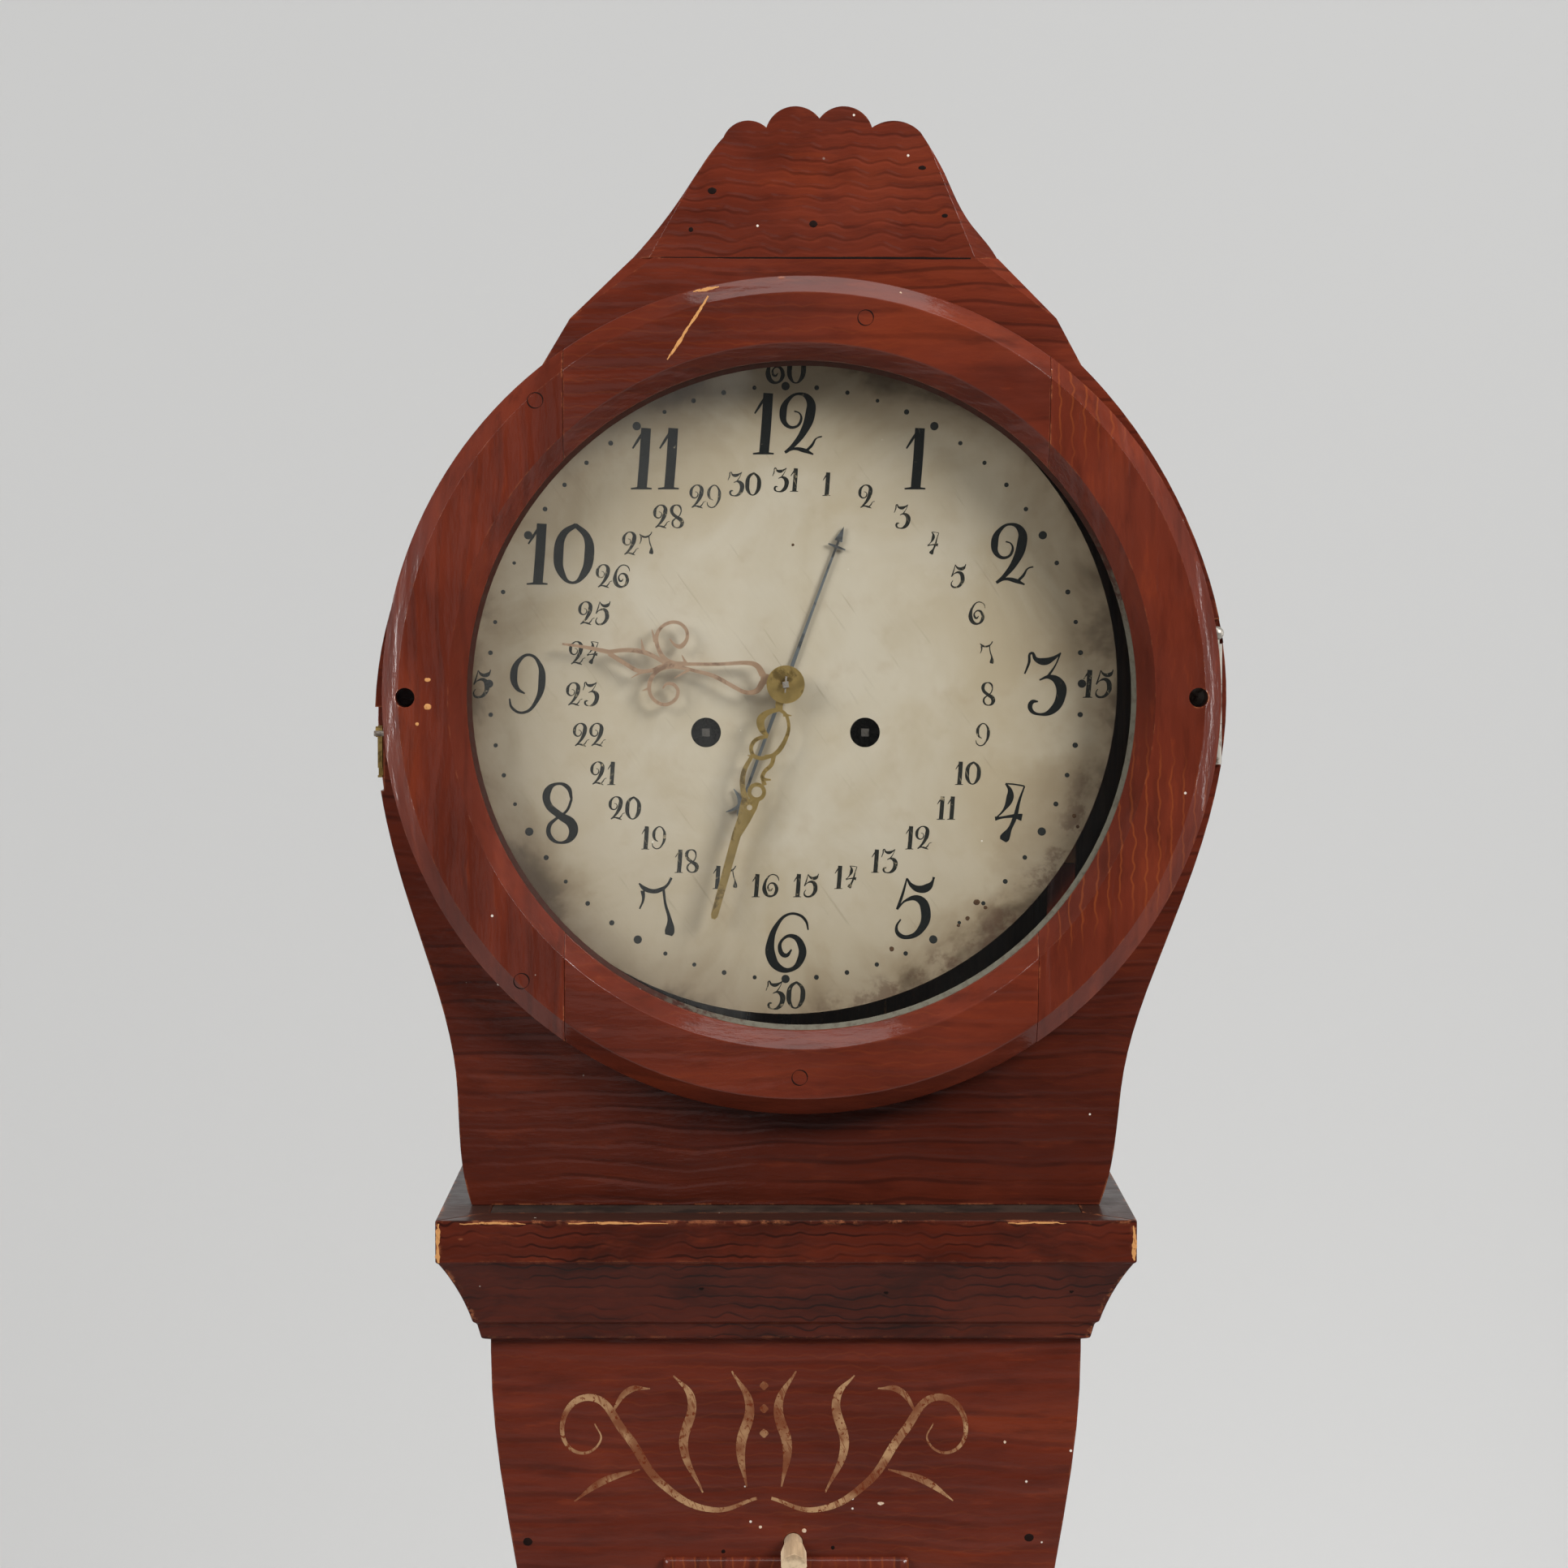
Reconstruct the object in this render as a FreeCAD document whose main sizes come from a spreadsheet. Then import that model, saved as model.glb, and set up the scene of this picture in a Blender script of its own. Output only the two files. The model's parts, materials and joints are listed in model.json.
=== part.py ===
"""Tall case clock: a waisted longcase with a round-headed hood and an eight-day movement.

The frame stands on the floor with +Z up, the dial faces -Y and +X is to the viewer's right.
The origin is the middle of the footprint of the whole clock, on the floor. Units are millimetres.
"""
import FreeCAD, Part
import math
import os
import re

V = FreeCAD.Vector
doc = FreeCAD.newDocument("TallCaseClock")

# Driving sizes, one group for each sub-assembly

CASE = {
    "trunk_height": 1387,  # floor to the underside of the cornice
    "trunk_depth": 190,  # front board's face to the back of the clock
    "front_thick": 18,
    "side_thick": 16,
    "back_thick": 14,
    "neck_half": 161.5,  # half width under the cornice
    "neck_straight": 6,  # the neck stays this wide for this far down
    "throat_half": 149.7,
    "throat_drop": 115,
    "waist_half": 138,
    "waist_height": 1165,
    "belly_half": 252,
    "belly_height": 745,
    "foot_half": 168,
    "plinth_height": 230,
    "plinth_half": 200,
    "plinth_thick": 16,
    "plinth_reach": 22,  # plinth front ahead of the trunk front
    "apron_rise": 34,  # cut-out between the plinth's feet
    "foot_width": 62,
    "foot_curl": 20,
    "moulding_height": 28,
    "moulding_lip": 6,
    "floor_thick": 18,
    "floor_height": 42,
    "cornice_height": 70,
    "cornice_overhang": 28,
    "platform_thick": 18,
    "platform_hole_half": 100,
    "platform_hole_front": 62,  # opening's front edge behind the trunk front
    "platform_hole_back": 9,  # opening's back edge in front of the backboard
    "seat_thick": 20,
    "cheek_setback": 53,  # front edge of the cheeks behind the trunk front
    "seat_hole": 5,
    "seat_slot_half": 20,
    "seat_slot_reach": 12,
}

DOOR = {
    "door_half": 67.5,
    "door_foot_rise": 162,  # above the plinth's moulding
    "door_top_drop": 120,  # below the cornice
    "door_edge": 5,  # square edge of the lip, behind its bevel
    "door_bevel": 5,
    "door_bevel_run": 10,
    "door_lap": 8,  # how far the lip covers the trunk front
    "door_gap": 3,  # rebate clearance
    "door_panel_thick": 14,
    "door_hinge_rise": 145,  # from each end of the door to the middle of its hinge
    "door_hinge_tall": 60,
    "door_hinge_out": 5,  # hinge axis beyond the lip's edge
    "door_knuckle": 3.2,
    "door_hinge_leaf": 26,
    "leaf_thick": 1.5,
    "pin_radius": 1.5,
    "peg_radius": 5,
    "peg_head_radius": 7,
    "peg_reach": 55,
    "peg_head_length": 32,
    "peg_tail": 8,
    "peg_rise": 7.5,  # above the door's top edge
    "peg_side": 4,
}

HOOD = {
    "hood_setback": 53,  # hood front behind the cornice's front edge
    "hood_board_thick": 18,
    "hood_wall": 10,
    "hood_reach": 4.8,  # hood's half width beyond the ring
    "bezel_rise": 281,  # bezel centre above the hood's bottom
    "ear_half": 137.7,
    "ear_rise": 197.4,
    "corner_half": 132.8,
    "corner_rise": 206,
    "seam_half": 100,
    "seam_rise": 239,  # crest seam above the bezel centre
    "crest_half": 100,
    "crest_height": 82,
    "crest_thick": 18,
    "crest_shift": 18.6,  # the head leans this far to the right at its top
    "slide_gap": 0.3,
    "hood_hole_lap": 9.5,  # hood's hole beyond the ring's opening
    "bezel_opening": 182.5,
    "ring_width": 46,
    "bezel_thick": 25,
    "bezel_chamfer": 9.5,
    "bezel_chamfer_depth": 8,
    "bezel_bevel_run": 9.5,
    "bezel_bevel_depth": 10,
    "glass_ledge_depth": 14,
    "glass_lap": 6,
    "glass_thick": 2.5,
    "putty_width": 2.6,
    "left_joint": 129.5,
    "right_joint": 131.8,
    "joint_slant": 4.2,
    "ring_hole_radius": 5.3,
    "ring_hole_inset": 13.1,  # inside the ring's outer edge
    "bezel_hinge_tall": 66,
    "bezel_hinge_drop": 4.4,  # middle of the hinge below the bezel centre
    "bezel_knuckle": 3,
    "bezel_leaf": 19,
    "bezel_hinge_inset": 1,  # axis inside the ring's outer edge
    "finial_radius": 3.8,
    "finial_neck": 2,
    "hook_length": 25,
    "hook_width": 7,
    "hook_thick": 2.5,
    "hook_drop": 20,  # hook pivot below the bezel centre
    "hook_back": 9,  # hook pivot behind the hood's face
    "hook_recess": 4,
    "hook_play": 0.6,
    "catch_radius": 1.5,
}

MOVEMENT = {
    "dial_rise": 6,  # arbor above the bezel centre
    "dial_gap": 2.5,
    "dial_lap": 1,  # dial's edge beyond the ring's opening
    "dial_thick": 1.2,
    "dial_centre_hole": 6.4,
    "dial_wind_hole": 8.25,
    "dial_foot_radius": 4,
    "dial_foot_x": 70,
    "dial_foot_z": 60,
    "motion_space": 24,  # dial face to front plate
    "plate_thick": 3,
    "plate_space": 60,
    "plate_half": 96,
    "plate_below": 80,
    "plate_above": 88,
    "pillar_radius": 5,
    "pillar_x": 84,
    "pillar_low": 68,
    "pillar_high": 76,
    "pivot_fit": 0.08,
    "centre_arbor": 2,
    "small_arbor": 1.5,
    "barrel_x": 44,
    "barrel_drop": 27,
    "barrel_arbor": 3,
    "square_side": 4.2,
    "drum_radius": 21.9,
    "flange_radius": 27,
    "flange_thick": 2,
    "drum_length": 38,
    "wheel_thick": 2.5,
    "pinion_length": 7,
    "hub_radius": 6,
    "great_teeth": 96,
    "great_pinion": 8,
    "centre_teeth": 64,
    "centre_module": 0.7,
    "third_pinion": 8,
    "third_angle": 60,
    "third_teeth": 60,
    "third_module": 0.6,
    "escape_pinion": 8,
    "escape_teeth": 30,
    "escape_radius": 17,
    "anchor_rise": 62,
    "pallet_clear": 2.3,
    "pallet_thick": 6,
    "cannon_teeth": 24,
    "minute_teeth": 72,
    "minute_pinion": 12,
    "hour_teeth": 48,
    "minute_rise": 30,
    "cannon_pipe": 3.2,
    "hour_pipe": 4.6,
    "date_pipe": 6,
    "strike_teeth": 78,
    "strike_radius": 41,
    "lift_pins": 8,
    "lift_pin_radius": 1.2,
    "hammer_x": 72,
    "hammer_rise": 40,
    "hammer_head": 6,
    "hammer_head_length": 16,
    "hammer_reach": 78,
    "hammer_tail": 28,
    "hammer_width": 5,
    "hammer_lean": 6,
    "bell_x": 24,
    "bell_rise": 104,
    "bell_radius": 32,
    "bell_height": 28,
    "bell_wall": 2,
    "stand_width": 6,
    "stand_gap": 4,
}

HANDS = {
    "hand_thick": 1.2,
    "hand_gap": 3,
    "minute_length": 135.5,
    "hour_length": 125,
    "date_length": 92.6,
    "washer_radius": 10.5,
    "hand_hub": 8,
}

HANGING = {
    "rod_width": 8,
    "rod_thick": 3,
    "pendulum_gap": 16,  # pendulum plane behind the back plate
    "pendulum_length": 1000,
    "bob_radius": 55,
    "bob_thick": 24,
    "bob_rim": 4,
    "nut_radius": 7,
    "nut_height": 8,
    "eye_radius": 6,
    "cock_gap": 8,
    "cock_foot": 3,
    "cock_half": 22,
    "cock_rise": 18,
    "cock_drop": 12,
    "weight_radius": 28,
    "weight_height": 170,
    "weight_shoulder": 10,
    "weight_rest": 200,
    "weight_y_share": 0.5,
    "line_radius": 0.8,
    "line_clear": 0.3,
    "pulley_radius": 19.5,
    "pulley_thick": 8,
    "groove_width": 4,
    "line_bend": 18,
    "strap_thick": 1.2,
    "strap_width": 9,
    "strap_gap": 0.6,
    "pulley_rise": 40,
    "knot_radius": 3,
    "knot_height": 4,
}

# Places that follow from the driving sizes, as the sheet's own formulas

PLACES = {
    "back_y": "(trunk_depth + peg_reach) / 2",
    "trunk_face": "back_y - trunk_depth",
    "trunk_inner": "trunk_face + front_thick",
    "back_inner": "back_y - back_thick",
    "platform_top": "trunk_height + cornice_height",
    "foot_height": "plinth_height + moulding_height",
    "door_foot_height": "foot_height + door_foot_rise",
    "door_top_height": "trunk_height - door_top_drop",
    "floor_top": "floor_height + floor_thick",
    "plinth_face": "trunk_face - plinth_reach",
    "cheek_y": "trunk_face + cheek_setback",
    "hood_face": "trunk_face - cornice_overhang + hood_setback",
    "hood_inner": "hood_face + hood_board_thick",
    "hood_bottom": "platform_top + slide_gap",
    "bezel_radius": "bezel_opening + ring_width",
    "bezel_flat_radius": "bezel_opening + bezel_bevel_run",
    "glass_radius": "bezel_opening + glass_lap",
    "dial_radius": "bezel_opening + dial_lap",
    "hood_hole_radius": "bezel_opening + hood_hole_lap",
    "ring_hole_offset": "bezel_radius - ring_hole_inset",
    "hood_half": "bezel_radius + hood_reach",
    "bezel_z": "hood_bottom + bezel_rise",
    "hood_height": "bezel_rise + seam_rise + crest_height",
    "bezel_x": "crest_shift * bezel_rise / hood_height",
    "bezel_back": "hood_face - slide_gap",
    "bezel_front": "bezel_back - bezel_thick",
    "dial_z": "bezel_z + dial_rise",
    "dial_face": "hood_inner + dial_gap",
    "dial_back": "dial_face + dial_thick",
    "plate_one": "dial_face + motion_space",
    "plate_one_back": "plate_one + plate_thick",
    "plate_two": "plate_one_back + plate_space",
    "plate_two_back": "plate_two + plate_thick",
    "barrel_z": "dial_z - barrel_drop",
    "seat_top": "dial_z - plate_below",
    "seat_under": "seat_top - seat_thick",
    "moulding_reach_x": "plinth_half + moulding_lip - foot_half",
    "moulding_reach_y": "plinth_reach + moulding_lip",
    "great_plane": "plate_one_back + 2 * wheel_thick",
    "centre_plane": "plate_one_back + 6 * wheel_thick",
    "third_plane": "plate_one_back + 10 * wheel_thick",
    "escape_plane": "plate_one_back + 16 * wheel_thick",
    "strike_plane": "plate_one_back + 19 * wheel_thick",
    "hour_plane": "plate_one - slide_gap - 3 * wheel_thick",
    "third_reach": "(centre_teeth + third_pinion) * centre_module / 2",
    "third_x": "third_reach * cos(third_angle)",
    "third_z": "dial_z + third_reach * sin(third_angle)",
    "escape_reach": "(third_teeth + escape_pinion) * third_module / 2",
    "escape_z": "third_z + sqrt(escape_reach * escape_reach - third_x * third_x)",
    "minute_z": "dial_z + minute_rise",
    "hammer_z": "dial_z + hammer_rise",
    "anchor_z": "dial_z + anchor_rise",
    "pendulum_y": "plate_two_back + pendulum_gap",
    "cock_y": "plate_two_back + cock_gap",
    "bob_z": "anchor_z - pendulum_length",
    "line_y": "plate_one_back + plate_space * weight_y_share",
    "weight_top": "weight_rest + weight_height",
    "pulley_z": "weight_top + pulley_rise",
    "line_drum": "barrel_x - drum_radius - line_clear - line_radius",
    "weight_x": "line_drum + line_bend",
    "line_tied": "weight_x + line_bend",
    "door_axis_x": "door_half + door_hinge_out",
    "door_axis_y": "trunk_face - door_hinge_out",
    "bezel_axis_x": "bezel_x + bezel_radius - bezel_hinge_inset",
    "bezel_hinge_z": "bezel_z - bezel_hinge_drop",
    "bezel_axis_y": "hood_face - leaf_thick",
    "hook_z": "bezel_z - hook_drop",
    "hook_y": "hood_face + hook_back",
    "catch_y": "bezel_back - bezel_thick / 2",
}

# Shapes given as shares of the sizes that they follow

HOOD_SIDE_SHARES = (
    (0.0, 0.743), (0.071, 0.766), (0.262, 0.789), (0.454, 0.85), (0.647, 0.931), (0.839, 0.988),
    (0.931, 1.0), (1.124, 0.983), (1.312, 0.909), (1.501, 0.779), (1.643, 0.631),
)
CORNICE_SHARES = {
    "fillet": 0.33, "step": 0.94, "cove_top": 0.345, "cove_mid": (0.59, 0.58), "cove_end": (0.33, 0.84),
    "bead": (0.25, 0.86), "foot": (0.17, 0.98),
}
CREST_SIDE_SHARES = {
    -1: ((1.0, 0.0), (0.922, 0.106), (0.841, 0.228), (0.73, 0.42), (0.659, 0.557), (0.594, 0.68),
         (0.52, 0.795)),
    1: ((1.0, 0.0), (0.936, 0.106), (0.845, 0.228), (0.747, 0.42), (0.693, 0.557), (0.634, 0.68),
        (0.554, 0.827)),
}
LOBE_SHARES = ((0.403, 0.905, 0.288, 0.86), (0.139, 1.0, 0.0, 0.92))
WHEEL_TOOTH_SHARES = {"add": 0.75, "ded": 1.15, "tip": 0.18, "root": 0.38}
PINION_TOOTH_SHARES = {"add": 0.65, "ded": 1.1, "tip": 0.14, "root": 0.32}
ESCAPE_TOOTH_SHARES = ((0.0, 0.0), (0.06, 0.0), (0.14, 1.0), (0.62, 1.0))
ESCAPE_RIM_SHARE = 0.66
ESCAPE_DEPTH_SHARE = 0.2
RIM_SHARE = 0.86
ARM_SHARE = 0.08
PIN_CIRCLE_SHARE = 0.88
BELL_SHARES = (0.3, 0.82, 0.55)
PLINTH_SHARES = {"top": (0.15, 0.0), "middle": (0.75, 0.25), "edge": (1.0, 0.75)}
SEAM_INSET_SHARE = 0.4
PEG_SIDES = 8
WHEEL_ARMS = 4
RIBBON_STEPS = 5

# The hands as they stand on the dial: ribbons of (right, up, half width) from the arbor. Each
# hand is scaled by its own length over its tip's reach, so only the ratios count

STROKE_SHARES = {"minute": 1.45, "hour": 1.5, "date": 1.0}
MINUTE_TIP_SHARES = (-316, -1024)
MINUTE_RIBBON_SHARES = (
    ((0, -40, 14), (-26, -79, 12), (-28, -114, 10)),
    ((-28, -109, 5), (2, -134, 5), (14, -184, 5), (2, -234, 6), (-26, -284, 7), (-58, -310, 6),
     (-91, -312, 4)),
    ((-28, -109, 6), (-76, -122, 8), (-108, -152, 12), (-104, -194, 10), (-78, -226, 5)),
    ((-78, -226, 5), (-126, -239, 6), (-150, -272, 6), (-141, -309, 6), (-106, -322, 6), (-58, -310, 6)),
    ((-141, -304, 5), (-176, -364, 7), (-188, -414, 8), (-186, -459, 8), (-171, -510, 10)),
    ((-51, -304, 7), (-61, -349, 6), (-91, -379, 6), (-101, -410, 6), (-64, -416, 2)),
    ((-101, -404, 6), (-92, -440, 7)),
    ((-11, -132, 6), (26, -136, 1)),
    ((-166, -309, 1), (-138, -315, 5)),
)
MINUTE_RING_SHARES = (-126, -469, 41, 12)
MINUTE_SPEAR_SHARES = (
    (-191, -499), (-111, -499), (-126, -544), (-158, -604), (-196, -664), (-296, -1014), (-308, -1026),
    (-324, -1022), (-326, -1004), (-231, -644), (-210, -584), (-201, -534),
)
MINUTE_EYE_SHARES = (-158, -537, 12)
HOUR_TIP_SHARES = (-981, 177)
HOUR_RIBBON_SHARES = (
    ((-50, 20, 14), (-110, 24, 16)),
    ((-100, 40, 10), (-126, 81, 8), (-176, 94, 6), (-296, 88, 5), (-436, 88, 5), (-536, 82, 5), (-586, 62, 5),
     (-646, 58, 6), (-706, 91, 6), (-776, 136, 7)),
    ((-100, 10, 10), (-126, -29, 8), (-176, -36, 6), (-236, -7, 6), (-316, 36, 6), (-396, 58, 5),
     (-456, 74, 5), (-526, 84, 4)),
    ((-526, 88, 5), (-576, 121, 6), (-636, 144, 7), (-706, 150, 6), (-776, 142, 6)),
    ((-760, 138, 7), (-876, 162, 5), (-981, 177, 3)),
    ((-436, 94, 4), (-486, 92, 6), (-531, 111, 7), (-559, 156, 6), (-568, 206, 6), (-548, 248, 5),
     (-508, 271, 5), (-466, 268, 5), (-436, 238, 5), (-434, 198, 5),
     (-460, 166, 7), (-488, 174, 4), (-508, 199, 2)),
    ((-446, 68, 4), (-496, 76, 5), (-546, 68, 6), (-581, 41, 6), (-599, -4, 6), (-593, -49, 5),
     (-561, -82, 5), (-521, -89, 5), (-484, -66, 5), (-473, -29, 5), (-493, -1, 5),
     (-524, 1, 4), (-540, -19, 2)),
    ((-438, 92, 5), (-456, 128, 1)),
    ((-624, 140, 6), (-634, 198, 1)),
    ((-572, 186, 6), (-588, 241, 1)),
    ((-586, 60, 5), (-640, 48, 3), (-678, 28, 1)),
    ((-596, -16, 5), (-630, -29, 1)),
    ((-420, 66, 5), (-491, 26, 1)),
)
DATE_TIP_SHARES = (260, 700)
DATE_RIBBON_SHARES = (
    ((-210, -574, 6), (-105, -285, 7), (0, 0, 9), (116, 317, 6), (238, 642, 5)),
    ((190, 624, 3), (228, 610, 6), (266, 596, 3)),
    ((-231, -469, 2), (-206, -515, 8), (-216, -590, 2)),
    ((-266, -572, 2), (-218, -552, 7), (-190, -506, 2)),
)
DATE_HEAD_SHARES = ((218, 641), (252, 629), (260, 700))
GREAT_ARMS = 5

SHEETS = {"Sizes": (CASE, DOOR, HOOD, MOVEMENT, HANDS, HANGING), "Places": (PLACES,)}
HOME = {name: sheet for sheet, groups in SHEETS.items() for group in groups for name in group}


def cell_text(text):
    """Writes a formula in plain names with the sheet that holds each name."""
    return re.sub(r"[a-z][a-z0-9_]*", lambda w: f"{HOME[w[0]]}.{w[0]}" if w[0] in HOME else w[0], text)


def fill_sheets():
    """Puts every size and place into its sheet, one row each, under its own alias."""
    for title, groups in SHEETS.items():
        sheet = doc.addObject("Spreadsheet::Sheet", title)
        rows = [(name, value) for group in groups for name, value in group.items()]
        for row, (name, value) in enumerate(rows, 1):
            sheet.set(f"A{row}", name)
            sheet.setAlias(f"B{row}", name)
            sheet.set(f"B{row}", "=" + cell_text(value) if isinstance(value, str) else str(value))
        doc.recompute()


class Reader:
    """Reads a size or place from the sheets by its name."""

    def __getattr__(self, name):
        return float(getattr(doc.getObject(HOME[name]), name))


class Spot:
    """An arbor's place in the movement, as formulas of the sheets and as numbers."""

    def __init__(self, across, up):
        self.across, self.up = across, up
        places = doc.getObject("Places")
        self.x, self.z = (float(places.evalExpression(cell_text(text))) for text in (across, up))


fill_sheets()
S = Reader()
nodes = {}
CENTRE = Spot("0", "dial_z")
THIRD = Spot("third_x", "third_z")
ESCAPE = Spot("0", "escape_z")
ANCHOR = Spot("0", "anchor_z")
GOING = Spot("barrel_x", "barrel_z")
STRIKING = Spot("-barrel_x", "barrel_z")
HAMMER = Spot("-hammer_x", "hammer_z")
MINUTE = Spot("0", "minute_z")
TEETH = {name: int(value) for name, value in MOVEMENT.items() if name.endswith(("_teeth", "_pinion"))}

# Building blocks

TURNS = {
    "X": FreeCAD.Rotation(V(0, 0, 1), V(1, 0, 0)),
    "Y": FreeCAD.Rotation(V(0, 0, 1), V(0, 1, 0)),
    "Z": FreeCAD.Rotation(),
}
PLANES = {"XZ": ("XZ_Plane", "y"), "XY": ("XY_Plane", "z"), "YZ": ("YZ_Plane", "x")}


def bind(thing, prop, text):
    """Ties a property to a formula of the sheets."""
    thing.setExpression(prop, cell_text(text))


def place(thing, corner):
    for axis, text in zip("xyz", corner):
        bind(thing, f"Placement.Base.{axis}", text)
    return thing


def box(label, corner, size):
    """A block from its lowest corner and its lengths along X, Y and Z."""
    block = doc.addObject("Part::Box", label)
    for prop, text in zip(("Length", "Width", "Height"), size):
        bind(block, prop, text)
    return place(block, corner)


def rod(label, start, radius, length, along="Y"):
    """A round bar from the middle of its lower end."""
    bar = doc.addObject("Part::Cylinder", label)
    bar.Placement = FreeCAD.Placement(V(), TURNS[along])
    bind(bar, "Radius", radius)
    bind(bar, "Height", length)
    return place(bar, start)


def sketch_in(body, label, plane, outline):
    """A sketch on one of the body's own planes, from a list of edges."""
    sketch = body.newObject("Sketcher::SketchObject", label + "_outline")
    role = PLANES[plane][0]
    sketch.AttachmentSupport = [(next(f for f in body.Origin.OriginFeatures if f.Role == role), "")]
    sketch.MapMode = "FlatFace"
    sketch.addGeometry(outline, False)
    return sketch


def board(label, outline, start, thick, plane="XZ"):
    """A flat piece: in the XZ plane it runs forwards from y = start, in the others up or right."""
    body = doc.addObject("PartDesign::Body", label)
    pad = body.newObject("PartDesign::Pad", label + "_pad")
    pad.Profile = sketch_in(body, label, plane, outline)
    bind(pad, "Length", thick)
    bind(body, f"Placement.Base.{PLANES[plane][1]}", start)
    return body


def turned(label, outline, centre, plane="XY"):
    """A turned piece: its half section (radius, height) goes round the Y axis, or round Z in XZ."""
    body = doc.addObject("PartDesign::Body", label)
    sketch = sketch_in(body, label, plane, outline)
    turn = body.newObject("PartDesign::Revolution", label + "_turn")
    turn.Profile = sketch
    turn.ReferenceAxis = (sketch, ["V_Axis"])
    turn.Angle = 360
    return place(body, centre)


def feature(label, shape):
    """A piece whose shape needs the geometry kernel directly."""
    item = doc.addObject("Part::Feature", label)
    item.Shape = shape
    return item


def join(label, parts):
    whole = doc.addObject("Part::MultiFuse", label)
    whole.Shapes = parts
    return whole


def shared(label, parts):
    overlap = doc.addObject("Part::MultiCommon", label)
    overlap.Shapes = parts
    return overlap


def less(label, base, tools):
    """The base with every tool cut away."""
    rest = doc.addObject("Part::Cut", label)
    rest.Base = base
    rest.Tool = tools[0] if len(tools) == 1 else join(label + "_tools", tools)
    return rest


def group(label, parts):
    """Separate solids that share one node."""
    bundle = doc.addObject("Part::Compound", label)
    bundle.Links = parts
    return bundle


def node(label, thing):
    """Registers a finished sub-part under its own name."""
    thing.Label = label
    nodes[label] = thing
    return thing


def lines(points):
    """A closed outline of straight edges."""
    corners = [V(x, z, 0) for x, z in points]
    return [Part.LineSegment(a, b) for a, b in zip(corners, corners[1:] + corners[:1])]


def path(points):
    """An open run of straight edges."""
    corners = [V(x, z, 0) for x, z in points]
    return [Part.LineSegment(a, b) for a, b in zip(corners, corners[1:])]


def rectangle(x0, z0, x1, z1):
    return lines(((x0, z0), (x1, z0), (x1, z1), (x0, z1)))


def circle(x, z, radius):
    return [Part.Circle(V(x, z, 0), V(0, 0, 1), radius)]


def arc(a, b, c):
    """A three-point arc."""
    return Part.Arc(V(*a, 0), V(*b, 0), V(*c, 0))


def spline(points, ends=None):
    """A smooth curve through points, with a direction at each end where one is given."""
    curve = Part.BSplineCurve()
    corners = [V(x, z, 0) for x, z in points]
    if ends:
        curve.interpolate(Points=corners, InitialTangent=V(*ends[0], 0), FinalTangent=V(*ends[1], 0))
    else:
        curve.interpolate(corners)
    return curve


def ring_arc(x, z, radius, start, end):
    """An arc of a circle between two angles in radians, anticlockwise from the front."""
    return Part.ArcOfCircle(Part.Circle(V(x, z, 0), V(0, 0, 1), radius), start, end)


# Case


def trunk_side(side, wall):
    """One edge of the trunk, top to foot, `wall` inside its outer face."""

    def at(half, z):
        return side * (half - wall), z

    top = S.platform_top - S.platform_thick
    neck = S.trunk_height - S.neck_straight
    throat = S.trunk_height - S.throat_drop
    down = ((0, -1), (0, -1))
    waist, belly = at(S.waist_half, S.waist_height), at(S.belly_half, S.belly_height)
    return (
        path((at(S.neck_half, top), at(S.neck_half, neck)))
        + [spline((at(S.neck_half, neck), at(S.throat_half, throat), waist), down)]
        + [spline((waist, belly), down)]
        + [spline((belly, at(S.foot_half, S.foot_height)), down)]
        + path((at(S.foot_half, S.foot_height), at(S.foot_half, S.floor_top)))
    )


def trunk_outline(wall):
    """The trunk seen from the front, between the floor board and the platform."""
    top, half, low = S.platform_top - S.platform_thick, S.neck_half - wall, S.foot_half - wall
    ends = path(((-half, top), (half, top))) + path(((-low, S.floor_top), (low, S.floor_top)))
    return trunk_side(-1, wall) + trunk_side(1, wall) + ends


def side_outline(side):
    """The edge of a trunk side board, seen from the front."""
    top, half, low = S.platform_top - S.platform_thick, side * S.neck_half, side * S.foot_half
    wall = side * S.side_thick
    ends = path(((half, top), (half - wall, top))) + path(((low, S.floor_top), (low - wall, S.floor_top)))
    return trunk_side(side, 0) + trunk_side(side, S.side_thick) + ends


def cornice_section(at):
    """A square fillet over a deep hollow and a bead: at(outwards share, share down from the top)."""
    share = CORNICE_SHARES
    return (
        path((at(0, 0), at(1, 0), at(1, share["fillet"]), at(share["step"], share["cove_top"])))
        + [arc(at(share["step"], share["cove_top"]), at(*share["cove_mid"]), at(*share["cove_end"]))]
        + path((at(*share["cove_end"]), at(*share["bead"]), at(*share["foot"]), at(0, 1), at(0, 0)))
    )


def plinth_section(at):
    """A square edge below an ovolo that ends on the trunk."""
    share = PLINTH_SHARES
    return (
        path((at(0, 0), at(*share["top"])))
        + [arc(at(*share["top"]), at(*share["middle"]), at(*share["edge"]))]
        + path((at(*share["edge"]), at(1, 1), at(0, 1), at(0, 0)))
    )


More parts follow.
